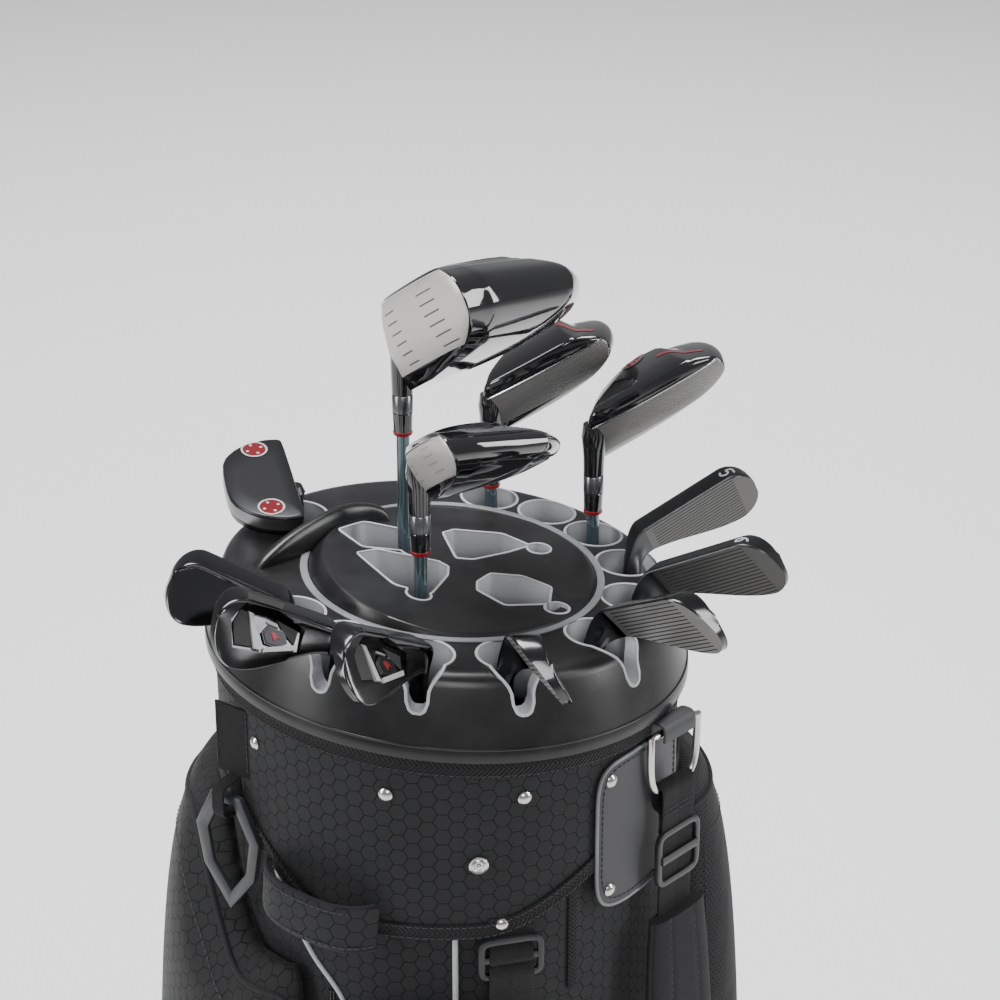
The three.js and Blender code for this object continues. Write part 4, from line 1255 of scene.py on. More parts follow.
def cuff_low(points: Array) -> Array:
    """Height of the cuff's lower edge at plan positions."""
    x, y = points[..., 0], points[..., 1]
    from_front = np.degrees(np.abs(np.arctan2(x + 0.18 * np.abs(y), -y)))
    return CUFF_LOW + 54 * smooth((from_front - 18) / 45)


def cloth_tube(r_out: float, r_in: float, low: Callable[[Array], Array], high: Callable[[Array], Array],
               rows: int, fold: float, seed: float) -> Shape:
    """A tube of cloth over foam, with soft folds on its outside."""
    deg = np.linspace(0, 360, 288, endpoint=False)
    base = on_bag(r_out, deg, 0)
    z0, z1 = low(base), high(base)
    rings = []
    for f in np.linspace(0, 1, rows):
        z = z0 + (z1 - z0) * f
        calm = math.sin(math.pi * f) ** 0.5
        r = r_out + fold * calm * wave(np.radians(deg) * 3, z / 60, seed)
        rings.append(on_bag(r, deg, z))
    rings += [on_bag(r_in, deg, z1), on_bag(r_in, deg, z0)]
    turn = np.radians(np.linspace(0, 360, 289)) * r_out
    heights = [np.append(ring[:, 2], ring[0, 2]) for ring in rings + rings[:1]]
    places = np.stack([np.stack([turn, h], 1) for h in heights])
    return Shape.grid(np.stack(rings), wrap_rows=True, wrap_cols=True, places=places)


def strip(r: float, deg: Array, z: Array, width: float, thick: float, closed: bool = False) -> Shape:
    """A flat band sewn round the bag's side."""
    path = on_bag(r, deg, z)
    return sweep(path, band_section(width, thick), outwards(path), closed=closed)


@dataclass(frozen=True)
class Rivet:
    """A domed metal rivet on the bag's side."""

    deg: float
    z: float
    r: float = CUFF_R + 0.6
    size: float = 4.6

    def shape(self) -> Shape:
        """The dome with its flat foot."""
        k = self.size
        spots = [(k * 1.05, 0), (k * 1.05, 0.5), (k * 0.9, 1.2), (k * 0.62, 2.0), (k * 0.3, 2.4),
                 (k * 0.02, 2.5)]
        return turned(0, 0, spots, 20).moved(self.placed)

    def placed(self, points: Array) -> Array:
        """Turns an upright shape to face outwards."""
        frame_at = facing_out(self.r, self.deg, self.z)
        return frame_at.out(np.column_stack([points[:, 2], points[:, 0], points[:, 1]]))


@dataclass
class BagBody:
    """The round bag: base cup, cloth tube, upper cuff with its bindings, and rivets."""

    rivets: tuple[Rivet, ...] = (Rivet(-103.6, 879), Rivet(-71, 874), Rivet(-76.5, 779), Rivet(-161, 884),
                                 Rivet(-142, 885))
    snap: Rivet = Rivet(-82, 827, size=4.2)

    def build(self) -> None:
        """Makes every piece of the body."""
        self.base()
        self.cuff()
        self.tube()
        self.metal()
        LOG.info("bag body: %d rivets", len(self.rivets))

    def base(self) -> None:
        """The moulded base with its foot and ribs."""
        profile = [(0.5, 0), (148, 0), (154, 1.5), (159.5, 6), (161.6, 11), (161.6, 30), (160.9, 31),
                   (160.9, 34),
                   (161.6, 35), (161.6, 66), (160.6, 72), (159.2, 81), (157.6, 84), (156.8, 84), (156.6, 20),
                   (150, BAG_FLOOR), (0.5, BAG_FLOOR)]
        shape = lathe(profile, 160, [0.0] * len(profile), closed=True)
        shape.piece("base_moulding", "bag", BASE_PLASTIC, slot="moulded_plastic", replaces=["base_cup"])

    def cuff(self) -> None:
        """The honeycomb cuff, its bindings and its seams."""
        top = lambda p: rim_z(p[..., 0]) + 5
        shape = cloth_tube(CUFF_R, BODY_R + 0.3, cuff_low, top, 30, 0.7, 1.7)
        shape.piece("cuff_cloth", "bag", HEX_CLOTH, slot="bag_fabric", replaces=["upper_cuff"])
        deg = np.linspace(0, 360, 240, endpoint=False)
        plan = on_bag(CUFF_R, deg, 0)
        upper = strip(CUFF_R + 1.0, deg, rim_z(plan[:, 0]) - 6.5, 15, 1.8, True)
        lower = strip(CUFF_R + 0.9, deg, cuff_low(plan) + 3.5, 11, 1.8, True)
        (upper + lower).piece("cuff_bindings", "bag", TRIM_WEB, slot="webbing")
        rows = []
        for z in (rim_z(plan[:, 0]) - 12.2, cuff_low(plan) + 7.6, cuff_low(plan) - 0.6):
            path = on_bag(CUFF_R + 1.9, deg, z)
            rows.append(stitches(path, outwards(path), 3.4, 1.8, 0.35))
        joined(rows).piece("cuff_stitches", "bag", THREAD, slot="webbing")

    def tube(self) -> None:
        """The cloth tube, the lining's sleeve, and the piping down its front."""
        level = lambda z: lambda p: np.full(len(p), z)
        shape = cloth_tube(BODY_R, BODY_R - 3, level(BAG_FLOOR + 0.3), level(DECK_Z - 74), 90, 1.1, 4.2)
        shape.piece("tube_cloth", "bag", HEX_CLOTH, slot="bag_fabric", replaces=["body_tube"])
        z = np.linspace(779, 712, 30)
        run = on_bag(BODY_R + 1.6, np.full(30, -87.6), z)
        pipe = sweep(run, round_section(2.0, 12, 0.8), outwards(run))
        pipe.piece("front_piping", "bag", PIPING, slot="grey_trim")
        slant = curve_through([(-141, 812), (-134, 770), (-126, 737), (-117, 708), (-113, 670)], 12, False)
        path = on_bag(BODY_R + 0.9, slant[:, 0], slant[:, 1])
        sweep(path, round_section(1.7, 10), outwards(path)).piece("side_piping", "bag", PIPING,
                                                                  slot="grey_trim")
        seam = strip(BODY_R + 1.0, np.full(40, -57.0), np.linspace(800, 712, 40), 7, 1.4)
        seam.piece("front_seam_tape", "bag", TRIM_WEB, slot="webbing")

    def metal(self) -> None:
        """Rivets and the snap."""
        joined([r.shape() for r in self.rivets]).piece("cuff_rivets", "bag", NICKEL, slot="nickel")
        spots = [(6.6, 0), (6.6, 0.8), (6.0, 1.3), (5.2, 1.0), (4.6, 1.6), (3.6, 1.9), (3.0, 1.1), (1.7, 1.1),
                 (1.5, 2.2), (0.9, 2.6), (0.05, 2.6)]
        turned(0, 0, spots, 36).moved(self.snap.placed).piece("snap_button", "bag", NICKEL, slot="nickel")


@dataclass
class Pocket:
    """A padded pocket that swells from the bag's side."""

    name: str
    deg0: float
    deg1: float
    z0: float
    z1: float
    depth: float
    top: float
    slant: float = 0.0
    finish: Finish = HEX_CLOTH
    inner: float = BODY_R + 1.6
    puff: float = 5.0

    def spot(self, a: Array, b: Array, share: float = 1.0) -> Array:
        """A point over the pocket: a across and b up, each from -1 to 1."""
        shrink = np.maximum(0, 1 - np.abs(b) ** 8) ** 0.125
        wide = a * (0.82 + 0.18 * shrink)
        high = self.z1 - self.slant * smooth((wide + 0.1) / 0.7)
        deg = self.deg0 + (self.deg1 - self.deg0) * (wide + 1) / 2
        z = self.z0 + (high - self.z0) * (b + 1) / 2
        crown = np.sqrt(np.maximum(0, 1 - np.abs(a) ** 4)) * np.sqrt(np.maximum(0, 1 - np.abs(b) ** 10))
        swell = 6 + (self.depth - 6) * crown * (1 - self.top * np.maximum(0, b) ** 2)
        return on_bag(self.inner + swell * share, deg, z)

    def shape(self) -> Shape:
        """The pocket as one closed form."""
        spread = lambda n: np.sin(np.linspace(-math.pi / 2, math.pi / 2, n))
        a, b = np.meshgrid(spread(46), spread(60))
        front = self.spot(a, b, 0.93)
        back = self.spot(a, b, 0.02)
        outer = Shape.grid(front)
        rear = Shape.grid(back)
        edge = lambda grid: np.vstack([grid[0], grid[1:, -1], grid[-1, -2::-1], grid[-2:0:-1, 0]])
        sides = Shape.grid(np.stack([edge(back), edge(self.spot(a, b, 0.5)), edge(front)]), wrap_cols=True)
        return outer + rear + sides

    def build(self) -> bpy.types.Object:
        """Makes the pocket, plumps it and sews its edges."""
        shape = self.shape()
        body = shape.piece(self.name + "_cloth", "bag", self.finish, slot="bag_fabric",
                           replaces=[self.name], sharp=80)
        work = bmesh.new()
        work.from_mesh(body.data)
        bmesh.ops.remove_doubles(work, verts=work.verts, dist=0.05 * MM)
        bmesh.ops.recalc_face_normals(work, faces=work.faces)
        work.to_mesh(body.data)
        work.free()
        plump(body, self.puff)
        lay_cloth(body.data, self.inner + self.depth)
        self.sew(body)
        LOG.info("%s: %d faces", self.name, len(body.data.polygons))
        return body

    def sew(self, body: bpy.types.Object) -> None:
        """Piping round the face, with stitches inside it."""
        steps = np.linspace(-1, 1, 50)
        ring = lambda k: [(-k, b * k) for b in steps] + [(a * k, k) for a in steps[1:]] + [(k,
            -b * k) for b in steps[1:]] + [(-a * k, -k) for a in steps[1:-1]]
        cords, rows = [], []
        for k, sewn in ((0.93, False), (0.86, True)):
            spots = np.array(ring(k))
            path = self.spot(spots[:, 0], spots[:, 1])
            path = settled_on(path, body, 0.4)
            for _ in range(3):
                path = 0.5 * path + 0.25 * (np.roll(path, 1, 0) + np.roll(path, -1, 0))
            if sewn:
                rows.append(stitches(path, outwards(path), 3.6, 2.0, 0.4))
            else:
                cords.append(sweep(path, round_section(2.1, 10), outwards(path), closed=True))
        joined(cords).piece(self.name + "_piping", "bag", PLAIN_CLOTH, slot="bag_fabric")
        joined(rows).piece(self.name + "_stitches", "bag", THREAD, slot="webbing")


def lay_cloth(mesh: bpy.types.Mesh, radius: float) -> None:
    """Sets the cloth's places from the angle round the bag and the height."""
    layer = mesh.uv_layers.get("cloth") or mesh.uv_layers.new(name="cloth")
    co = np.empty(len(mesh.vertices) * 3, np.float32)
    mesh.vertices.foreach_get("co", co)
    co = co.reshape(-1, 3) / MM
    index = np.empty(len(mesh.loops), np.int32)
    mesh.loops.foreach_get("vertex_index", index)
    p = co[index]
    turn = np.arctan2(p[:, 1], p[:, 0])
    turn = np.where(turn > 2.3, turn - math.tau, turn)
    layer.data.foreach_set("uv", np.stack([turn * radius, p[:, 2]], 1).astype(np.float32).ravel())


def settled_on(path: Array, body: bpy.types.Object, lift: float) -> Array:
    """Moves points level with the bag's axis until they stand a little off a piece's outside."""
    out = []
    for p in path:
        away = Vector((p[0], p[1], 0)).normalized()
        start = Vector((0, 0, p[2] * MM)) + away * 0.4
        hit, spot, _, _ = body.ray_cast(start, -away)
        keep = hit and math.hypot(spot.x, spot.y) / MM > math.hypot(p[0], p[1]) - 25
        r = math.hypot(spot.x, spot.y) / MM + lift if keep else math.hypot(p[0], p[1])
        out.append((away.x * r, away.y * r, p[2]))
    return np.array(out)


SIM_FRAMES = 20


def plump(body: bpy.types.Object, most: float, voxel: float = 6.0, pressure: float = 4.0) -> None:
    """Fills a closed cloth piece with air by simulation, and caps how far each point goes.

    Args:
        body: the piece, changed in place.
        most: the farthest that a point may move, in millimetres.
        voxel: size of the remesh, in millimetres.
        pressure: the air's push.
    """
    finish = body.data.materials[0]
    remesh = body.modifiers.new("remesh", "REMESH")
    remesh.mode, remesh.voxel_size = "VOXEL", voxel * MM
    settle(body)
    rest = np.empty(len(body.data.vertices) * 3, np.float32)
    body.data.vertices.foreach_get("co", rest)
    cloth = body.modifiers.new("cloth", "CLOTH")
    cloth.settings.use_pressure = True
    cloth.settings.uniform_pressure_force = pressure
    cloth.settings.effector_weights.gravity = 0
    cloth.settings.quality = 5
    cloth.point_cache.frame_start, cloth.point_cache.frame_end = 1, SIM_FRAMES
    for number in range(1, SIM_FRAMES + 1):
        bpy.context.scene.frame_set(number)
    settle(body)
    bpy.context.scene.frame_set(1)
    moved = np.empty_like(rest)
    body.data.vertices.foreach_get("co", moved)
    step = (moved - rest).reshape(-1, 3)
    size = np.linalg.norm(step, axis=1, keepdims=True)
    cap = most * MM
    step = step * (np.minimum(size, cap) / np.maximum(size, 1e-9))
    body.data.vertices.foreach_set("co", (rest.reshape(-1, 3) + step).ravel())
    rounder = body.modifiers.new("rounder", "SUBSURF")
    rounder.levels = rounder.render_levels = 1
    settle(body)
    body.data.materials.clear()
    body.data.materials.append(finish)
    body.data.polygons.foreach_set("use_smooth", [True] * len(body.data.polygons))


@dataclass
class Zip:
    """A zip beside a pocket: tape, teeth and a slider on its own body."""

    side: str
    deg: float
    z: float
    travel: float
    node: str

    def build(self) -> None:
        """Makes the tape, teeth and slider."""
        z = np.linspace(self.z + 12, self.z - self.travel - 14, 140)
        deg = np.full(len(z), self.deg)
        tape = strip(BODY_R + 1.3, deg, z, 9, 0.9)
        tape.piece(f"zip_tape_{self.side}", "bag", TRIM_WEB, slot="webbing")
        teeth = []
        for aside in (-0.45, 0.45):
            path = on_bag(BODY_R + 2.0, deg + aside, z)
            teeth.append(stitches(path, outwards(path), 1.6, 0.5, 0.75))
        joined(teeth).piece(f"zip_teeth_{self.side}", "bag", FITTING_PLASTIC, slot="webbing")
        self.slider()
        LOG.info("zip %s: travel %d mm", self.side, self.travel)

    def slider(self) -> None:
        """The slider's shield, its bridge and its puller."""
        at = facing_out(BODY_R + 3.2, self.deg, self.z)
        shield = np.array([(-2.6, -5.4), (2.6, -5.4), (3.8, -2), (4, 3.6), (2.4, 5.4),
                           (-2.4, 5.4), (-4, 3.6), (-3.8, -2)])
        body = slab(shield, 3.6, inset=0.9).moved(lambda p: at.out(np.column_stack([p[:, 2] - 1.2,
            p[:, 0], p[:, 1]])))
        arch = curve_through([(2.2, 0, 4.2), (4.2, 0, 3.4), (4.7, 0, 0), (4.2, 0, -3.4), (2.2, 0, -4)], 5,
                             False)
        bridge = sweep(at.out(arch), band_section(2.4, 1.1), at.axes[0])
        outline = [(5.1, -3.2, 1), (5.1, 3.2, 1), (5.1, 3.6, -10), (5.1, 2.6, -26), (5.1, 0, -28),
                   (5.1, -2.6, -26),
                   (5.1, -3.6, -10)]
        loop = sweep(at.out(curve_through(outline, 6, True)), band_section(1.8, 1.4), at.axes[0], closed=True)
        body_name = f"zip_{self.side}"
        (body + bridge + loop).piece(f"zip_puller_{self.side}", body_name, NICKEL, slot="nickel",
                                     replaces=[self.node])


@dataclass
class ShoulderStrap:
    """The leather patch, nickel ring, webbing, slider and padded strap on the right."""

    deg: float = -27.0
    ring_half: float = 25.0
    ring_drop: float = 46.0
    web: float = 34.0
    place: Place = field(default_factory=lambda: facing_out(CUFF_R + 12, -27, DECK_Z - 80).swung(-15))

    def build(self) -> None:
        """Makes every piece of the strap."""
        self.patch()
        self.ring()
        self.webbing()
        self.slider()
        self.pad()
        LOG.info("shoulder strap")

    def patch(self) -> None:
        """Leather with a piped edge, stitches and rivets."""
        deg0, deg1, z0, z1 = -52.0, -16.0, DECK_Z - 198, DECK_Z - 84
        turn = np.linspace(0, math.tau, 120, endpoint=False)
        ring = lambda k, r: on_bag(
            r, (deg0 + deg1) / 2 + k * (deg1 - deg0) / 2 * squarer(np.cos(turn), 0.34),
            (z0 + z1) / 2 + (1 - (1 - k) * 0.9) * (z1 - z0) / 2 * squarer(np.sin(turn), 0.34))
        rows = [ring(0.99, CUFF_R + 0.3), ring(0.99, CUFF_R + 2.2), ring(0.965, CUFF_R + 2.7)]
        rows += [ring(k, CUFF_R + 2.7) for k in np.linspace(0.9, 0.02, 14)]
        Shape.grid(np.stack(rows), wrap_cols=True, caps=True).piece(
            "strap_patch_leather", "bag", PATCH_LEATHER, slot="patch_leather", replaces=["strap_patch"])
        edge = ring(0.985, CUFF_R + 2.4)
        sweep(edge, round_section(1.3, 10), outwards(edge), closed=True).piece("strap_patch_piping", "bag",
            BORDER_GREY, slot="grey_trim")
        sewn = ring(0.9, CUFF_R + 2.9)
        stitches(sewn, outwards(sewn), 3.0, 1.6, 0.4).piece("strap_patch_stitches", "bag", THREAD,
                                                            slot="webbing")
        spots = [Rivet(-47.5, 868, CUFF_R + 2.8), Rivet(-47.5, 783, CUFF_R + 2.8),
                 Rivet(-19.5, 868, CUFF_R + 2.8),
                 Rivet(-19.5, 783, CUFF_R + 2.8)]
        joined([s.shape() for s in spots]).piece("strap_patch_rivets", "bag", NICKEL, slot="nickel")

    def ring(self) -> None:
        """The nickel ring and the leather tab over its bar."""
        turn = np.linspace(math.pi, math.tau, 44)
        arc = np.column_stack([np.zeros(44), self.ring_half * squarer(np.cos(turn), 0.5),
                               self.ring_drop * squarer(np.sin(turn), 0.5)])
        bar = np.column_stack([np.zeros(9), np.linspace(self.ring_half, -self.ring_half, 11)[1:-1],
                               np.full(9, 0.0)])
        path = self.place.out(np.vstack([arc, bar]))
        wire = sweep(path, round_section(2.7, 18), self.place.axes[0], closed=True)
        wire.piece("ring_wire", "shoulder_strap", NICKEL, slot="nickel", replaces=["strap_d_ring"])
        over = [(-7.6, 0, -8), (-7.6, 0, 1), (-6.6, 0, 6), (-2, 0, 7.2), (2.6, 0, 6.6), (4.6, 0, 2),
                (4.2, 0, -5.2)]
        tab = ribbon(self.place.out(curve_through(over, 6, False)), self.place.axes[1], 33, 2.4)
        tab.piece("ring_leather_tab", "bag", PATCH_LEATHER, slot="patch_leather", replaces=["d_ring_tab"])

    def webbing(self) -> None:
        """The webbing that loops through the ring and down to the pad."""
        low = -self.ring_drop
        loop = [(3.2, 0, low - 97), (4.2, 0, low - 60), (5, 0, low - 20), (5.2, 0, low - 4),
                (4.4, 0, low + 3.6),
                (0, 0, low + 6.2),
                (-4.4, 0, low + 3.6), (-5, 0, low - 4), (-3.4, 0, low - 11), (1.4, 0, low - 14), (2.6, 0,
                                                                                                  low - 18),
                (2.4, 0, low - 30)]
        band = ribbon(self.place.out(curve_through(loop, 7, False)), self.place.axes[1], self.web, 2.0)
        band.piece("strap_webbing_band", "shoulder_strap", STRAP_WEB, slot="webbing",
                   replaces=["strap_webbing"])
        rows = []
        for z in (low - 12, low - 15.5):
            path = self.place.out(np.column_stack([np.full(20, 6.2), np.linspace(-15, 15, 20),
                                                   np.full(20, z)]))
            rows.append(stitches(path, self.place.axes[0], 2.4, 1.2, 0.4))
        joined(rows).piece("strap_webbing_stitches", "shoulder_strap", THREAD, slot="webbing")

    def slider(self) -> None:
        """The plastic slider with its middle bar."""
        middle = -self.ring_drop - 50
        turn = np.linspace(0, math.tau, 64, endpoint=False)
        path = np.column_stack([np.full(64, 5.6), 20.6 * squarer(np.cos(turn), 0.3),
                                middle + 19.6 * squarer(np.sin(turn), 0.3)])
        frame_bar = sweep(self.place.out(path), band_section(4.8, 4.2, 0.6), self.place.axes[0], closed=True)
        across = np.column_stack([np.full(12, 7.6), np.linspace(-19, 19, 12), np.full(12, middle)])
        bar = sweep(self.place.out(across), band_section(6.4, 2.6, 0.7), self.place.axes[0])
        (frame_bar + bar).piece("slider_frame", "shoulder_strap", FITTING_PLASTIC, slot="moulded_plastic",
                                replaces=["strap_slider"])

    def pad_spot(self, f: Array, side: Array, share: float = 1.0) -> Array:
        """A point on the pad: f down its length, side from -1 to 1, on its face."""
        half = 21 + 13 * np.sin(np.pi * np.minimum(1, f * 1.3 + 0.12)) ** 0.7
        thick = 3 + 5.5 * np.sin(np.pi * (0.06 + 0.88 * f)) ** 0.5
        crown = np.maximum(0, 1 - np.abs(side) ** 3.2) ** 0.5
        channels = 1 - 0.16 * np.exp(-(((np.abs(side) - 0.45) / 0.05) ** 2))
        x = 6 + 24 * f + share * thick * (0.25 + 0.95 * crown * channels)
        return np.stack([x, side * half, -self.ring_drop - 96.5 - 430 * f], -1)

    def pad(self) -> None:
        """The padded strap with two sewn channels and a piped edge."""
        f = np.linspace(0, 1, 90)
        side = np.sin(np.linspace(-math.pi / 2, math.pi / 2, 40))
        rings = []
        for k in f:
            front = self.pad_spot(np.full(40, k), side)
            back = self.pad_spot(np.full(40, k), side[::-1], -0.9)
            rings.append(self.place.out(np.vstack([front, back[1:-1]])))
        shape = Shape.grid(np.stack(rings), wrap_cols=True, caps=True)
        body = shape.piece("strap_pad_cloth", "shoulder_strap", PAD_KNIT, slot="bag_fabric",
                           replaces=["strap_pad"], sharp=70)
        edges, rows = [], []
        for s in (-1, 1):
            edge = self.place.out(self.pad_spot(f, np.full(90, float(s)), 0.4))
            edges.append(sweep(edge, round_section(1.7, 10), self.place.axes[0]))
            sewn = self.place.out(self.pad_spot(f, np.full(90, 0.45 * s)))
            rows.append(stitches(sewn, self.place.axes[0], 3.4, 2.0, 0.4))
        joined(edges).piece("strap_pad_piping", "shoulder_strap", PLAIN_CLOTH, slot="bag_fabric")
        joined(rows).piece("strap_pad_stitches", "shoulder_strap", THREAD, slot="webbing")


@dataclass
class FrontFittings:
    """The ladder buckle and webbing on the front, the grab handle, and the towel ring with its tab."""

    def build(self) -> None:
        """Makes every fitting."""
        self.buckle()
        self.handle()
        self.towel_ring()
        LOG.info("front fittings")

    def buckle(self) -> None:
        """A two-slot buckle and the webbing through it."""
        at = facing_out(math.hypot(44, 158.5), math.degrees(math.atan2(-158.5, 44)), 754)
        turn = np.linspace(0, math.tau, 56, endpoint=False)
        path = np.column_stack([np.zeros(56), 20.6 * squarer(np.cos(turn), 0.3),
                                13.8 * squarer(np.sin(turn), 0.3)])
        ring = sweep(at.out(path), band_section(4.6, 4.2, 0.6), at.axes[0], closed=True)
        across = np.column_stack([np.zeros(10), np.linspace(-19, 19, 10), np.zeros(10)])
        bar = sweep(at.out(across), band_section(5.4, 3.6, 0.6), at.axes[0])
        (ring + bar).piece("front_buckle_frame", "bag", FITTING_PLASTIC, slot="moulded_plastic",
                           replaces=["front_buckle"])
        upper = curve_through([(-3.2, 0, 30), (-3, 0, 18), (-2.2, 0, 10), (2.6, 0, 3), (3, 0, -1),
                               (-1.8, 0, -7),
                               (-2.6, 0, -12)], 6, False)
        lower = curve_through([(-2.2, 0, -4), (3.2, 0, -9.6), (3.4, 0, -15), (1.6, 0, -26), (0.6, 0, -46)],
                              6, False)
        band = ribbon(at.out(upper), at.axes[1], 30, 1.8) + ribbon(at.out(lower), at.axes[1], 31, 3.0)
        band.piece("front_webbing", "bag", STRAP_WEB, slot="webbing")

    def handle(self) -> None:
        """The arched grab handle with its piped edges and stitches."""
        a = np.linspace(-1, 1, 61)
        deg = -136 + 30 * (a + 1) / 2
        span = 3 + 15 * np.maximum(0, 1 - np.abs(a) ** 3.5)
        z = DECK_Z - 184 - 0.4 * (26 * (a + 1) / 2 - 20)
        path = on_bag(CUFF_R + 0.3 + span + 3, deg, z)
        body = sweep(path, band_section(34, 5.6, 0.5), outwards(path))
        body.piece("grab_handle_cloth", "bag", HEX_CLOTH, slot="bag_fabric", replaces=["grab_handle"])
        edges = []
        for side in (-16.6, 16.6):
            edge = path + [0, 0, side]
            edges.append(sweep(edge, round_section(1.7, 10), outwards(path)))
        joined(edges).piece("grab_handle_piping", "bag", PLAIN_CLOTH, slot="bag_fabric")
        rows = []
        for side in (-13.4, 13.4):
            sewn = path + outwards(path) * 2.9 + [0, 0, side]
            rows.append(stitches(sewn, outwards(path), 3.2, 1.8, 0.4))
        joined(rows).piece("grab_handle_stitches", "bag", THREAD, slot="webbing")

    def towel_ring(self) -> None:
        """The plastic ring and the hooked tab that it hangs in."""
        at = facing_out(CUFF_R + 12, -149, DECK_Z - 130).swung(22)
        outer = np.array([(-13, 4), (13, 4), (29, -27), (23, -58), (0, -88), (-23, -58), (-29, -27)], float)
        inner = np.array([(-6, -4), (6, -4), (19, -29), (15, -54), (0, -74), (-15, -54), (-19, -29)], float)
        rows = [(outer, -2.2), (outer, 2.2), (outer * 0.8 + inner * 0.2, 3),
                (outer * 0.3 + inner * 0.7, 3), (inner, 1.6),
                (inner, -1.6), (outer * 0.3 + inner * 0.7, -3), (outer * 0.8 + inner * 0.2, -3)]
        rings = [at.out(np.column_stack([np.full(7, x), ring])) for ring, x in rows]
        shape = Shape.grid(np.stack(rings), wrap_rows=True, wrap_cols=True)
        shape.piece("towel_ring_frame", "towel_ring", RING_PLASTIC, slot="moulded_plastic",
                    replaces=["towel_ring"], bevel=0.7)
        wide = ribbon(at.out(np.array([(-8, 0, z) for z in np.linspace(68, 16, 24)], float)), at.axes[1],
                      30, 2.0)
        loop = curve_through([(-8, 0, 18), (-9, 0, 0), (-8, 0, -9.6), (0, 0, -11.6), (8.4, 0, -9),
                              (9.6, 0, 2),
                              (8, 0, 11.4), (0, 0, 13), (-6, 0, 14)], 6, False)
        narrow = ribbon(at.out(loop), at.axes[1], 10.5, 1.8)
        (wide + narrow).piece("ring_tab_cloth", "bag", HOOK_CLOTH, slot="webbing", replaces=["ring_tab"])
        rows = []
        for side in (-13.4, 13.4):
            path = at.out(np.array([(-6.8, side, z) for z in np.linspace(66, 17, 24)], float))
            rows.append(stitches(path, at.axes[0], 3.0, 1.6, 0.4))
        joined(rows).piece("ring_tab_stitches", "bag", THREAD, slot="webbing")


# ---- clubs ----
def projected(spots: Array, place: Place, body: bpy.types.Object, lift: float = 0.25) -> Array:
    """Drops local points along the local -Z axis on to a piece.

    Args:
        spots: local X and Y, in an array of any shape whose last axis is 2.
        place: the local frame.
        body: the piece to land on.
        lift: distance to stand off, in millimetres.

    Returns:
        The landed points, in the same arrangement.
    """
    flat = spots.reshape(-1, 2)
    down = Vector(-place.axes[2])
    found = []
    for x, y in flat:
        start = place.out((x, y, 120.0)) * MM
        hit, spot, _, _ = body.ray_cast(Vector(start), down)
        found.append(np.array(spot) / MM + place.axes[2] * lift if hit else None)
    known = [i for i, p in enumerate(found) if p is not None]
    for i, p in enumerate(found):
        if p is None and known:
            near = min(known, key=lambda k: float(np.hypot(*(flat[k] - flat[i]))))
            depth = float((found[near] - place.origin) @ place.axes[2])
            found[i] = place.out((*flat[i], depth))
    return np.array(found).reshape(*spots.shape[:-1], 3)


def patch(corners: Sequence[Sequence[float]], place: Place, body: bpy.types.Object, lift: float = 0.3,
          count: int = 14) -> Shape:
    """A four-cornered mark laid on a piece."""
    a, b, c, d = np.asarray(corners, float)
    u, v = np.meshgrid(np.linspace(0, 1, count), np.linspace(0, 1, count))
    u, v = u[..., None], v[..., None]
    flat = (a * (1 - u) + b * u) * (1 - v) + (d * (1 - u) + c * u) * v
    return Shape.grid(projected(flat, place, body, lift), places=flat)


def disc(x: float, y: float, r0: float, r1: float, place: Place, body: bpy.types.Object,
         lift: float) -> Shape:
    """A round mark laid on a piece, between two radii."""
    turn = np.linspace(0, math.tau, 41)
    r = np.linspace(max(r0, 0.05), r1, 4)[:, None]
    flat = np.stack([x + r * np.cos(turn), y + r * np.sin(turn)], -1)
    return Shape.grid(projected(flat, place, body, lift), places=flat)


def strokes(lines: Sequence[Array], place: Place, body: bpy.types.Object, radius: float,
            lift: float = 0.1) -> Shape:
    """Raised lines laid on a piece."""
    made = []
    for line in lines:
        path = projected(np.asarray(line, float), place, body, lift)
        made.append(sweep(path, round_section(radius, 10, 0.5), place.axes[2]))
    return joined(made)


DIGITS = {
    "5": [[(1.0, 1.5), (-0.8, 1.5), (-0.9, 0.25), (0.2, 0.35), (0.95, -0.15),
           (0.95, -0.95), (0.25, -1.5), (-0.9, -1.3)]],
    "6": [[(0.8, 1.5), (-0.4, 0.9), (-0.95, -0.2), (-0.8, -1.15), (0.0, -1.5), (0.85, -1.1), (0.9, -0.3),
           (0.2, 0.15), (-0.8, -0.3)]],
}


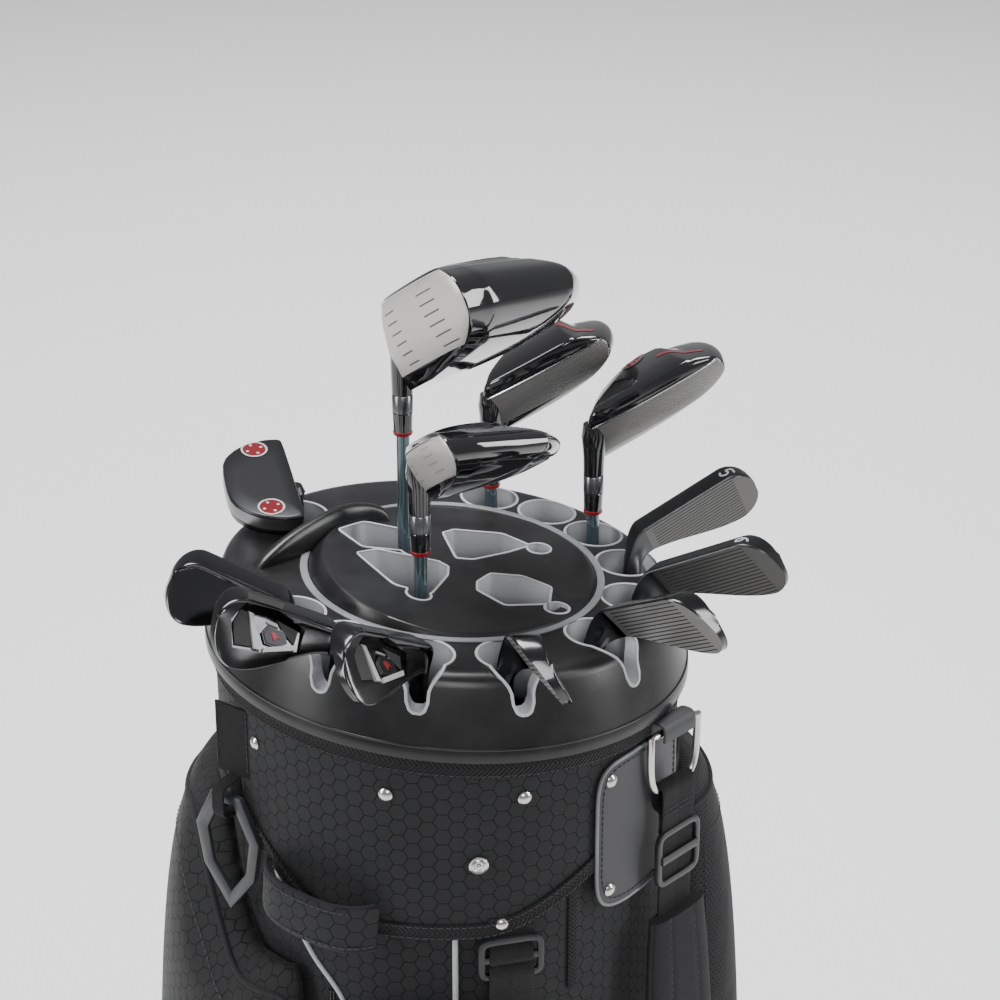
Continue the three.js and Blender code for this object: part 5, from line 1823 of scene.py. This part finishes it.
@dataclass
class Club:
    """A club standing grip-down: its head's frame, its shaft and its grip."""

    name: str
    x: float
    y: float
    top: float
    heading: float
    lie: float
    hosel: tuple[float, float] = (4.0, 64.0)
    reach: float = 0.0
    slot: str = "black_steel"

    @property
    def place(self) -> Place:
        """The head's frame: X to the toe along the sole, Y away from the face, Z out of the sole."""
        c, s = polar(1, self.heading)
        cl, sl = polar(1, self.lie)
        axes = np.array([[c * sl, s * sl, cl], [-s, c, 0], [-c * cl, -s * cl, sl]])
        return Place(np.array([self.x, self.y, DECK_Z + self.top]), axes)

    def build(self) -> None:
        """Makes the head, neck, shaft and grip."""
        head = self.head()
        self.marks(head)
        self.neck()
        self.shaft()
        self.grip()
        LOG.info("%s: head %d faces", self.name, len(head.data.polygons))

    def head(self) -> bpy.types.Object:
        """Makes the head."""
        raise NotImplementedError

    def marks(self, head: bpy.types.Object) -> None:
        """Makes what is laid on the head."""

    def neck(self) -> None:
        """The hosel and its ferrule."""
        raise NotImplementedError

    def shaft(self) -> None:
        """The smooth tapered shaft."""
        high = DECK_Z + self.top - self.hosel[1] + 20
        low = self.butt + GRIP_LENGTH - 6
        spots = [(7.2 + (4.5 - 7.2) * f, low + (high - low) * f) for f in np.linspace(0, 1, 12)]
        turned(self.x, self.y, spots, 32).piece(self.name + "_shaft_tube", self.name, SHAFT_LACQUER,
                                                slot="shaft_grey", replaces=[self.name + "_shaft"])

    @property
    def butt(self) -> float:
        """Height of the grip's butt."""
        return DECK_Z + self.top - self.reach if self.reach else BAG_FLOOR + 1

    def grip(self) -> None:
        """The rubber grip with its rounded cap and lip."""
        z = self.butt
        spots = [(4, z), (11, z + 0.3), (12.9, z + 2), (13.3, z + 5), (12.9, z + 6.5), (13.1, z + 9)]
        spots += [(13.1 - 3.9 * f, z + 9 + (GRIP_LENGTH - 15) * f) for f in np.linspace(0.04, 1, 16)]
        spots += [(8.6, z + GRIP_LENGTH - 4), (7.7, z + GRIP_LENGTH), (7.3, z + GRIP_LENGTH)]
        turned(self.x, self.y, spots, 32).piece(self.name + "_grip_rubber", self.name, GRIP_RUBBER,
                                                slot="grip_rubber", replaces=[self.name + "_grip"])


HEEL = 9.0
NECK_R = 6.8
NECK_DROP = 36.0
NECK_RINGS = 22


@dataclass
class Iron(Club):
    """A blade or cavity-back iron."""

    loft: float = 30.0
    length: float = 92.0
    heel_face: float = 27.0
    toe_face: float = 55.0
    sole: float = 20.0
    cavity: bool = False
    face: Finish = ClubFace("iron_face_grooved", Scoring.GROOVES, (0.09, 0.088, 0.085), 0.4, 94.0, 0.85)
    body: Finish = DARK_STEEL
    number: str = ""
    number_at: tuple[float, float] = (80.0, 9.0)
    edge: Finish = RIM_STEEL

    def section(self, t: float) -> tuple[Array, Array]:
        """The blade's outline across and up at a place along the sole, with each point's place up the face."""
        c, s = polar(1, self.loft)
        face = self.heel_face + (self.toe_face - self.heel_face) * smooth(t / (0.85 * self.length))
        heel = math.sqrt(max(0.0, 1 - ((4 - t) / 13) ** 2)) if t < 4 else 1.0
        past = t - self.length + 18
        toe = math.sqrt(max(0.0, 1 - (past / 18.4) ** 2)) if past > 0 else 1.0
        low = face * (0.42 * (1 - toe) + 0.1 * (1 - heel))
        high = face - face * (0.4 * (1 - toe) + 0.3 * (1 - heel))
        on_face = lambda up, behind: (up * s + behind * c, -up * c + behind * s)
        width = self.sole * (0.5 + 0.5 * min(heel, toe))
        drop = -low * c
        middle = low + 0.42 * (high - low) + 2
        corners = [(low * s, drop - 1.5), (low * s + 2.5, drop), (low * s + width - 2, drop - 0.6),
                   (low * s + width, drop - 3.5),
                   on_face(middle, 9.5), on_face(high - 1, 6), on_face(high, 3.2), on_face(high - 1, 0)]
        back = curve_through(corners, 5, False)
        front = [on_face(up, 0) for up in np.linspace(high - 1, low + 1.2, 9)[1:]]
        ups = np.concatenate([np.linspace(0, high - 1, len(back)), np.linspace(high - 1, low + 1.2, 9)[1:]])
        return np.vstack([back, front]), ups

    def head(self) -> bpy.types.Object:
        """The blade, with its cavity cut where it has one."""
        ends = self.length - 18 + 18.3 * np.sin(np.linspace(0, math.pi / 2, 20))
        stations = np.concatenate([np.linspace(HEEL, self.length - 19, 30), ends])
        rings, places = self.heel()
        for t in stations:
            outline, ups = self.section(float(t))
            rings.append(self.place.out(np.column_stack([np.full(len(outline), t), outline])))
            places.append(np.column_stack([np.full(len(ups) + 1, t), np.append(ups, ups[0])]))
        zone = lambda r, c: 1 if c >= 35 and r >= NECK_RINGS else 0
        shape = Shape.grid(np.stack(rings), wrap_cols=True, caps=True, places=np.stack(places), coat=zone)
        body = shape.piece(self.name + "_blade", self.name, self.body, self.face, slot=self.slot,
                           replaces=[self.name + "_head"], sharp=38)
        if self.cavity:
            outline = self.scaled([(0.3, 0.34), (0.56, 0.26), (0.82, 0.28), (0.9, 0.5),
                                   (0.85, 0.8), (0.58, 0.74), (0.32, 0.6)])
            rings = [self.behind.out(np.column_stack([outline, np.full(7, depth)])) for depth in (5.0, 35.0)]
            carve(body, Shape.grid(np.stack(rings), wrap_cols=True, caps=True))
        return body

    def heel(self) -> tuple[list[Array], list[Array]]:
        """The smooth bend from the hosel's circle to the blade's outline, as rings and cloth places."""
        outline, _ = self.section(HEEL)
        c, s = polar(1, self.lie)
        last = np.column_stack([np.full(len(outline), HEEL), outline])
        middle = (last.max(0) + last.min(0)) / 2
        turn = np.arctan2(last[:, 2] - middle[2], last[:, 1] - middle[1])
        first = NECK_R * (np.outer(np.cos(turn), [0, 1, 0]) + np.outer(np.sin(turn),
            [-s, 0, c])) - NECK_DROP * np.array([c, 0, s])
        rings, places = [], []
        for f in np.linspace(0, 1, NECK_RINGS + 1)[:-1]:
            h = [(1 + 2 * f) * (1 - f) ** 2, f * (1 - f) ** 2, f * f * (3 - 2 * f), f * f * (f - 1)]
            ring = h[0] * first + h[1] * 46 * np.array([c, 0, s]) + h[2] * last + h[3] * 30 * np.array([1.0,
                                                                                                        0, 0])
            rings.append(self.place.out(ring))
            run = np.linspace(0, 1, len(outline) + 1) * 60
            places.append(np.column_stack([np.full(len(run), HEEL - 40 * (1 - f)), run]))
        return rings, places

    def scaled(self, spots: Sequence[Sequence[float]]) -> Array:
        """Shares of the length and of the face's height, in millimetres."""
        return np.asarray(spots, float) * [self.length, self.toe_face]

    @property
    def behind(self) -> Place:
        """A frame on the face: X to the toe, Y up the face, Z through the head to its back."""
        c, s = polar(1, self.loft)
        toe, back, sole = self.place.axes
        return Place(self.place.origin, np.array([toe, s * back - c * sole, c * back + s * sole]))

    def marks(self, head: bpy.types.Object) -> None:
        """The number on the sole, or the badge in the cavity."""
        if self.number:
            x, y = self.number_at
            lines = [curve_through([(x + 3.1 * v, y - 3.1 * u) for u, v in line], 4,
                                   False) for line in DIGITS[self.number]]
            strokes(lines, self.place, head, 0.85).piece(self.name + "_number", self.name, OUTLINE_GREY,
                slot="grey_trim")
        if self.cavity:
            self.badge(head)

    def inlay(self, spots: Sequence[Sequence[float]], low: float, high: float, coat: int) -> Shape:
        """A plate on the cavity's floor."""
        flat = slab(self.scaled(spots), high - low, coat, 0.35)
        return flat.moved(lambda p: self.behind.out(p + [0, 0, low]))

    def badge(self, head: bpy.types.Object) -> None:
        """Ribbed panels, white bars, a six-sided badge and the grey windows."""
        ribs = [[(0.75, 0.33), (0.82, 0.32), (0.87, 0.5), (0.83, 0.75), (0.7, 0.72)],
                [(0.34, 0.37), (0.52, 0.31), (0.46, 0.44), (0.36, 0.54)]]
        bars = [[(0.72, 0.33), (0.76, 0.32), (0.68, 0.73), (0.63, 0.73)],
                [(0.6, 0.68), (0.6, 0.74), (0.35, 0.6), (0.35, 0.54)]]
        lines = [[(0.5, 0.4), (0.505, 0.38), (0.6, 0.36), (0.6, 0.385)],
                 [(0.4, 0.45), (0.405, 0.43), (0.48, 0.41), (0.475, 0.43)]]
        hexagon = [(0.62, 0.52), (0.59, 0.62), (0.5, 0.62), (0.43, 0.54), (0.46, 0.44), (0.58, 0.42)]
        emblem = [(0.57, 0.49), (0.53, 0.58), (0.51, 0.53), (0.48, 0.53), (0.54, 0.47)]
        rim = [(x + (x - 0.525) * 0.16, y + (y - 0.52) * 0.16) for x, y in hexagon]
        plates = [self.inlay(r, 4.9, 6.2, 0) for r in ribs] + [self.inlay(b, 4.9, 7.2,
            1) for b in bars] + [self.inlay(b, 4.9, 6.0, 1) for b in lines]
        plates += [self.inlay(rim, 4.9, 6.4, 2), self.inlay(hexagon, 5, 7.0, 3),
                   self.inlay(emblem, 6.9, 7.5, 4)]
        joined(plates).piece(self.name + "_badge", self.name, CARBON, WHITE_ENAMEL, DARK_STEEL, PUTTER_BLACK,
                             RED_ENAMEL, slot="wood_gloss_black", sharp=25)
        window = self.scaled([(0.5, 0.1), (0.76, 0.1), (0.8, 0.23), (0.54, 0.22)])
        edge = (window - window.mean(0)) * 1.12 + window.mean(0)
        frame_mark, pane = patch(edge, self.behind, head, 0.25).coated(1), patch(window, self.behind, head,
                                                                                 0.5)
        (pane + frame_mark).piece(self.name + "_window", self.name, WINDOW_GREY, GLOSS_BLACK,
                                  slot="wood_gloss_black")

    def neck(self) -> None:
        """The hosel and its black ferrule with one thin band."""
        end = DECK_Z + self.top - self.hosel[1]
        start = DECK_Z + self.top - NECK_DROP
        spots = [(4.9, end - 1), (5.3, end), (6.2, end + 14), (6.35, end + 14.2), (6.35, end + 15.8),
                 (6.2, end + 16), (6.5, end + 22),
                 (6.75, end + 22.3), (6.8, start - 2), (6.78, start + 0.5), (5.0, start + 1)]
        coats = [1, 1, 1, 2, 2, 1, 1, 0, 0, 0, 0]
        turned(self.x, self.y, spots, 36, coats).piece(self.name + "_hosel", self.name, self.body,
                                                       GLOSS_BLACK,
            BAND_GREY, slot=self.slot)


WOOD_PROFILE = np.array([[-0.3, -52, 0.56, 0.03, 0.42], [-0.29, -38, 0.62, 0.2, 0.3],
                         [-0.23, -20, 0.68, 0.44, 0.15], [-0.12, -4, 0.74, 0.62, 0.05],
                         [0, 4, 0.8, 0.72, 0], [0.06, 9, 0.87, 0.82, 0], [0.2, 16, 0.97, 0.97, 0],
                         [0.4, 22, 1, 1, 0], [0.62, 29, 0.95, 0.9, 0],
                         [0.82, 34, 0.76, 0.64, 0], [0.94, 37, 0.46, 0.36, 0], [1, 38, 0.05, 0.12, 0]], float)


@dataclass
class Wood(Club):
    """A hollow wood or hybrid: a gloss body behind a metal face."""

    loft: float = 15.0
    length: float = 92.0
    height: float = 40.0
    depth: float = 84.0
    point: float = 1.0
    ahead: float = 12.0
    face: Finish = ClubFace("fairway_face", Scoring.FINE, (0.25, 0.245, 0.237), 0.44, 92.0, 0.7)
    stripe: tuple[tuple[float, float], ...] = ()
    weight: tuple[float, float] | None = None
    facets: int = 0
    dome: float = 1.0
    edge: float = 0.24
    slot: str = "wood_gloss_black"

    def ring(self, row: Array, turn: Array) -> Array:
        """One level outline of the body, in the head's frame."""
        h, heel, toe, deep, shift = row
        up = -h * self.height * (1.0 if h > 0 else self.dome)
        t0, t1 = -heel * self.height / 60, toe * self.length
        s = np.sin(turn)
        run = np.where(s >= 0, deep * (self.depth - 10) * np.abs(s) ** self.point,
                       -8 * deep * np.abs(s) ** 0.7)
        front = (1 - deep) * 4 - math.tan(math.radians(self.loft)) * min(up, 0.0) - self.ahead + shift * self.depth
        outline = np.stack([(t0 + t1) / 2 + (t1 - t0) / 2 * np.cos(turn), front + 6 + run,
                           np.full_like(turn, up)], 1)
        if not self.facets:
            return outline
        corners = np.linspace(0, math.tau, self.facets + 1) + 0.3
        flat = np.stack([np.interp((turn - 0.3) % math.tau + 0.3, corners,
            np.interp(corners % math.tau, turn, outline[:, k], period=math.tau)) for k in (0, 1)], 1)
        share = 0.8 * np.clip((s + 0.05) * 4, 0, 1)[:, None]
        outline[:, :2] = outline[:, :2] * (1 - share) + flat * share
        return outline

    def head(self) -> bpy.types.Object:
        """The body with its face as a second finish."""
        rows = curve_through(WOOD_PROFILE, 6, False)
        rows = np.maximum(rows, [-1, -60, 0.02, 0.02, 0])
        turn = np.linspace(0, math.tau, 120, endpoint=False)
        rings = [self.ring(row, turn) for row in rows]
        places = [np.column_stack([np.append(r[:, 0], r[0, 0]), -np.append(r[:, 2], r[0, 2])]) for r in rings]
        zone = lambda r, c: 1 if np.sin(turn[c] + 0.02) < -0.16 and self.edge < rows[r, 0] < 0.84 else 0
        points = np.stack([self.place.out(r) for r in rings])
        shape = Shape.grid(points, wrap_cols=True, caps=True, places=np.stack(places), coat=zone)
        return shape.piece(self.name + "_body", self.name, GLOSS_BLACK, self.face, slot=self.slot,
                           replaces=[self.name + "_head"], sharp=24 if self.facets else 42)

    def marks(self, head: bpy.types.Object) -> None:
        """A bright steel line by the leading edge as a painted highlight, standing in for the reflection there; the
        stripe and the weight.
        """
        turn = np.linspace(math.radians(188), math.radians(352), 50)
        rows = curve_through(WOOD_PROFILE, 6, False)
        first = rows[np.argmax(rows[:, 0] > self.edge)]
        edge = self.place.out(self.ring(first, turn))
        # painted highlight: a bright steel line where the face's edge only shows a reflection
        sweep(edge, round_section(0.7, 8), self.place.axes[2]).piece(self.name + "_edge_line", self.name,
            BRIGHT_STEEL, slot="nickel")
        if self.stripe:
            patch(self.stripe, self.place, head, 0.3).piece(self.name + "_stripe",
                self.name, RED_LACQUER, slot=self.slot)
        if self.weight:
            x, y = self.weight
            parts = disc(x, y, 7.6, 9.4, self.place, head, 0.7) + disc(x, y, 0, 7.6,
                self.place, head, 0.5).coated(1)
            for k in range(6):
                c, s = polar(4.2, 60 * k)
                parts = parts + disc(x + c, y + s, 0, 1.1, self.place, head, 0.8).coated(2)
            parts.piece(self.name + "_weight", self.name, BRIGHT_STEEL, RED_LACQUER, GLOSS_BLACK,
                        slot="nickel")

    def neck(self) -> None:
        """The hosel: gloss black, a grey band, black again and a red ring."""
        end = DECK_Z + self.top - self.hosel[1]
        start = DECK_Z + self.top - self.hosel[0]
        spots = [(4.9, end - 0.5), (6.4, end), (6.8, end + 0.6), (6.8, end + 2.6), (6.5, end + 3),
                 (6.8, end + 10),
                 (7.0, end + 16), (6.7, end + 16.4),
                 (7.15, end + 17), (7.2, end + 29), (6.8, end + 29.6), (7.3, end + 30.2), (7.6, end + 42),
                 (8.2, start - 12), (9.2, start - 2), (8.0, start + 6)]
        coats = [2, 2, 2, 2, 0, 0, 0, 1, 1, 1, 0, 0, 0, 0, 0, 0]
        turned(self.x, self.y, spots, 40, coats).piece(self.name + "_hosel", self.name, GLOSS_BLACK,
                                                       BAND_GREY,
            RED_ENAMEL, slot=self.slot)


@dataclass
class Putter(Club):
    """A mallet putter, sole up, with two round weights."""

    slot: str = "putter_black"
    weights: tuple[tuple[float, float], ...] = ((-36.0, 22.0), (36.0, 22.0))

    def head(self) -> bpy.types.Object:
        """The flat mallet."""
        corners = [(-50, 2), (-46, 0), (44, 0), (48, 2), (49, 14), (42, 34), (26, 48),
                   (-24, 50), (-44, 34), (-51, 14)]
        edge = []
        for i, corner in enumerate(np.asarray(corners, float)):
            after = np.asarray(corners[(i + 1) % len(corners)], float)
            edge += [corner + (after - corner) * f for f in (0, 0.25, 0.5, 0.75)]
        edge = np.array(edge)
        for _ in range(2):
            edge = 0.5 * edge + 0.25 * (np.roll(edge, 1, 0) + np.roll(edge, -1, 0))
        middle = np.array([0, 24])
        rings = [self.place.out(np.column_stack([middle + (edge - middle) * k, np.full(len(edge), up)]))
                 for k, up in ((0.55, 0), (0.95, 0), (0.975, -0.3), (0.995, -1.2), (1, -2.4), (1, -11),
                               (0.985, -13), (0.94, -17))]
        run = np.linspace(0, 320, len(edge) + 1)
        places = np.stack([np.stack([run, np.full(len(run), 6.0 * k)], 1) for k in range(8)])
        zone = lambda r, c: 1 if r == 4 else 0
        shape = Shape.grid(np.stack(rings), wrap_cols=True, caps=True, places=places, coat=zone)
        return shape.piece("putter_mallet", self.name, PUTTER_BLACK, RIM_STEEL, slot=self.slot,
                           replaces=["putter_head"])

    def marks(self, head: bpy.types.Object) -> None:
        """The two weights with white rims, red middles and four dots."""
        parts = []
        for x, y in self.weights:
            parts.append(disc(x, y, 8.2, 9.6, self.place, head, 0.5))
            parts.append(disc(x, y, 0, 8.2, self.place, head, 0.35).coated(1))
            for k in range(4):
                c, s = polar(5.4, 90 * k + 20)
                parts.append(disc(x + c, y + s, 0, 1.1, self.place, head, 0.6))
        joined(parts).piece("putter_weights", self.name, WHITE_ENAMEL, RED_LACQUER, slot="grey_trim")

    def neck(self) -> None:
        """The short neck into the head."""
        end = DECK_Z + self.top - self.hosel[1]
        start = DECK_Z + self.top - self.hosel[0]
        spots = [(5.0, end - 1), (6.6, end), (6.7, end + 30), (6.8, start - 13), (8.2, start - 9),
                 (6.0, start - 4)]
        turned(self.x, self.y, spots, 36, [1, 1, 0, 0, 0, 0]).piece(
            "putter_neck", self.name, DARK_STEEL, GLOSS_BLACK, slot="black_steel")


def clubs() -> list[Club]:
    """The twelve clubs of the set."""
    driver_face = ClubFace("driver_face", Scoring.COLUMNS, (0.52, 0.5, 0.47), 0.42, 104.0, 0.55)
    hybrid_face = ClubFace("hybrid_face", Scoring.DOTS, (0.5, 0.485, 0.46), 0.4, 88.0, 0.55)
    bright_face = ClubFace("bright_face", Scoring.GROOVES, (0.5, 0.49, 0.47), 0.3, 92.0, 0.9)
    return [
        Wood("driver", -30, 27, 190, -60, 58, (24, 100), loft=10.5, length=104, height=60, depth=134,
             point=1.5,
             ahead=17, face=driver_face, facets=9, dome=0.2, edge=0.03),
        Wood("wood3", 30, 122, 92, -14, 57, (18, 84), loft=15, length=92, height=40, depth=84, point=1,
             ahead=12,
             stripe=((60, 10), (84, 3), (86, 7), (61, 15))),
        Wood("wood5", 103, 76, 88, -5, 57, (18, 80), loft=18, length=96, height=38, depth=78, point=1,
             ahead=12,
             dome=0.6, stripe=((54, 14), (86, 5), (87, 9), (55, 18)), weight=(34, 30)),
        Wood("hybrid", -17, -38, 108, -72, 59, (16, 78), loft=21, length=88, height=34, depth=100, point=1.4,
             ahead=13, face=hybrid_face, facets=9, dome=0.5, edge=0.1),
        Iron("iron5", 130, 32, 9, 16, 62, reach=938, loft=25, length=94, heel_face=27, toe_face=54,
             number="5"),
        Iron("iron6", 131, -24, 8, -27, 62, reach=930, loft=28, length=94, heel_face=27, toe_face=55,
             number="6"),
        Iron("iron7", 98, -81, 8, -50, 62, reach=920, loft=32, length=92, heel_face=27, toe_face=56,
             face=bright_face, body=DARK_CHROME),
        Iron("iron8", 39, -125, 13, -87, 62, reach=908, loft=36, length=88, heel_face=27, toe_face=57,
             face=bright_face, body=DARK_CHROME),
        Iron("iron9", -17, -130, 16, 225, 62, reach=896, loft=41, length=88, heel_face=28, toe_face=58,
             sole=21,
             cavity=True, body=DARK_CHROME),
        Iron("wedge_pitching", -69, -114, 20, 199, 62, reach=890, loft=45, length=88, heel_face=28,
             toe_face=58,
             sole=21, cavity=True, body=DARK_CHROME),
        Iron("wedge_sand", -99, -84, 26, 182, 62, reach=886, loft=55, length=80, heel_face=29, toe_face=60,
             sole=23,
             body=DARK_CHROME),
        Putter("putter", -110, 74, 38, 104, 79, reach=860),
    ]


# ---- what shows inside the bag ----
def dress_inside() -> None:
    """Finishes for the CAD pieces that are shown as they are."""
    for node, finish, slot in (
            ("divider_sleeve", PLAIN_CLOTH, "bag_fabric"),
            ("stay_rod_rear", DARK_STEEL, "black_steel"),
            ("stay_rod_left", DARK_STEEL, "black_steel")):
        obj = frame["nodes"][node]
        obj.data.materials.clear()
        obj.data.materials.append(finish.material())


# ---- the studio ----
@dataclass
class Softbox:
    """A soft rectangular lamp aimed at a point."""

    name: str
    at: tuple[float, float, float]
    size: tuple[float, float]
    power: float
    aim: tuple[float, float, float] = (0.0, 0.0, 1.0)
    mirrored: bool = True

    def build(self) -> None:
        """Makes the lamp."""
        light = bpy.data.lights.new(self.name, "AREA")
        light.shape, light.size, light.size_y, light.energy = "RECTANGLE", *self.size, self.power
        lamp = bpy.data.objects.new(self.name, light)
        bpy.context.scene.collection.objects.link(lamp)
        lamp.location = self.at
        lamp.visible_glossy = self.mirrored
        lamp.rotation_euler = (Vector(self.aim) - Vector(self.at)).to_track_quat("-Z", "Y").to_euler()


@dataclass
class Studio:
    """A pale floor, soft light and the camera."""

    lamps: tuple[Softbox, ...] = (
        Softbox("top_light", (-0.3, 0.3, 3.2), (1.5, 1.1), 96),
        Softbox("left_light", (-2.2, -1.0, 1.9), (0.7, 2.0), 48),
        Softbox("right_light", (2.3, -0.4, 1.8), (0.6, 1.8), 40),
        Softbox("floor_light", (0.0, 3.0, 3.0), (4.5, 3.0), 165, (0.0, 3.6, 0.0), False),
        Softbox("front_light", (0.4, -3.0, 2.4), (1.4, 0.8), 30),
    )

    eye: tuple[float, float, float] = (0.0366, -1.7077, 1.7979)
    pitch: float = 65.46
    lens_mm: float = 99.0
    sky: tuple[float, float, float] = (0.9, 0.91, 0.93)
    sky_strength: float = 0.34
    paper: Color = (0.9, 0.9, 0.905)

    def build(self) -> None:
        """Makes the floor, lamps, world and camera."""
        self.floor()
        for lamp in self.lamps:
            lamp.build()
        world = bpy.data.worlds.new("studio")
        world.use_nodes = True
        background = world.node_tree.nodes["Background"]
        background.inputs["Color"].default_value = (*self.sky, 1)
        background.inputs["Strength"].default_value = self.sky_strength
        bpy.context.scene.world = world
        self.camera()

    def floor(self) -> None:
        """A wide plain floor."""
        mesh = bpy.data.meshes.new("studio_floor")
        mesh.from_pydata([(-20, -8, 0), (20, -8, 0), (20, 40, 0), (-20, 40, 0)], [], [(0, 1, 2, 3)])
        floor = bpy.data.objects.new("studio_floor", mesh)
        bpy.context.scene.collection.objects.link(floor)
        g = Graph("studio_paper")
        grain = g.noise(g.solid_place(), 3.0, 2)
        mesh.materials.append(g.surface(Base_Color=self.paper, Roughness=0.95,
                                        Normal=g.bump(grain, 0.02, 0.3)))
        floor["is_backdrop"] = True

    def camera(self) -> None:
        """A long lens looking down on the top of the bag."""
        lens = bpy.data.cameras.new("camera")
        lens.lens, lens.sensor_width = self.lens_mm, 36.0
        camera = bpy.data.objects.new("camera", lens)
        bpy.context.scene.collection.objects.link(camera)
        camera.location = self.eye
        camera.rotation_euler = (math.radians(self.pitch), 0, 0)
        bpy.context.scene.camera = camera


def write_size() -> None:
    """Gathers the CAD box and the finished box in a dict that is not kept."""
    plain = lambda box: [[float(v) for v in corner] for corner in box]
    {"cad": plain(CAD_BOX), "finished": plain(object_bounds())}


def main() -> None:
    """Builds the whole set in order."""
    logging.basicConfig(level=logging.INFO, format="%(name)s: %(message)s")
    DividerTop().build()
    BagBody().build()
    pockets = (
        Pocket("pocket_garment_left", 150, 236, 105, DECK_Z - 146, 60, 0.5, 92, POCKET_CLOTH),
        Pocket("pocket_garment_right", -13, 48, 105, DECK_Z - 146, 62, 0.5, finish=PIQUE),
        Pocket("pocket_ball_front", -117, -63, 105, 385, 52, 0.1),
        Pocket("pocket_cooler_front", -116, -64, 400, DECK_Z - 262, 36, 0.1),
    )
    for pocket in pockets:
        pocket.build()
    Zip("left", 240.5, 700, 450, "zip_slider_left").build()
    Zip("right", 52.5, 790, 500, "zip_slider_right").build()
    ShoulderStrap().build()
    FrontFittings().build()
    for club in clubs():
        club.build()
    dress_inside()
    Studio().build()
    write_size()


if __name__ == "__main__":
    main()
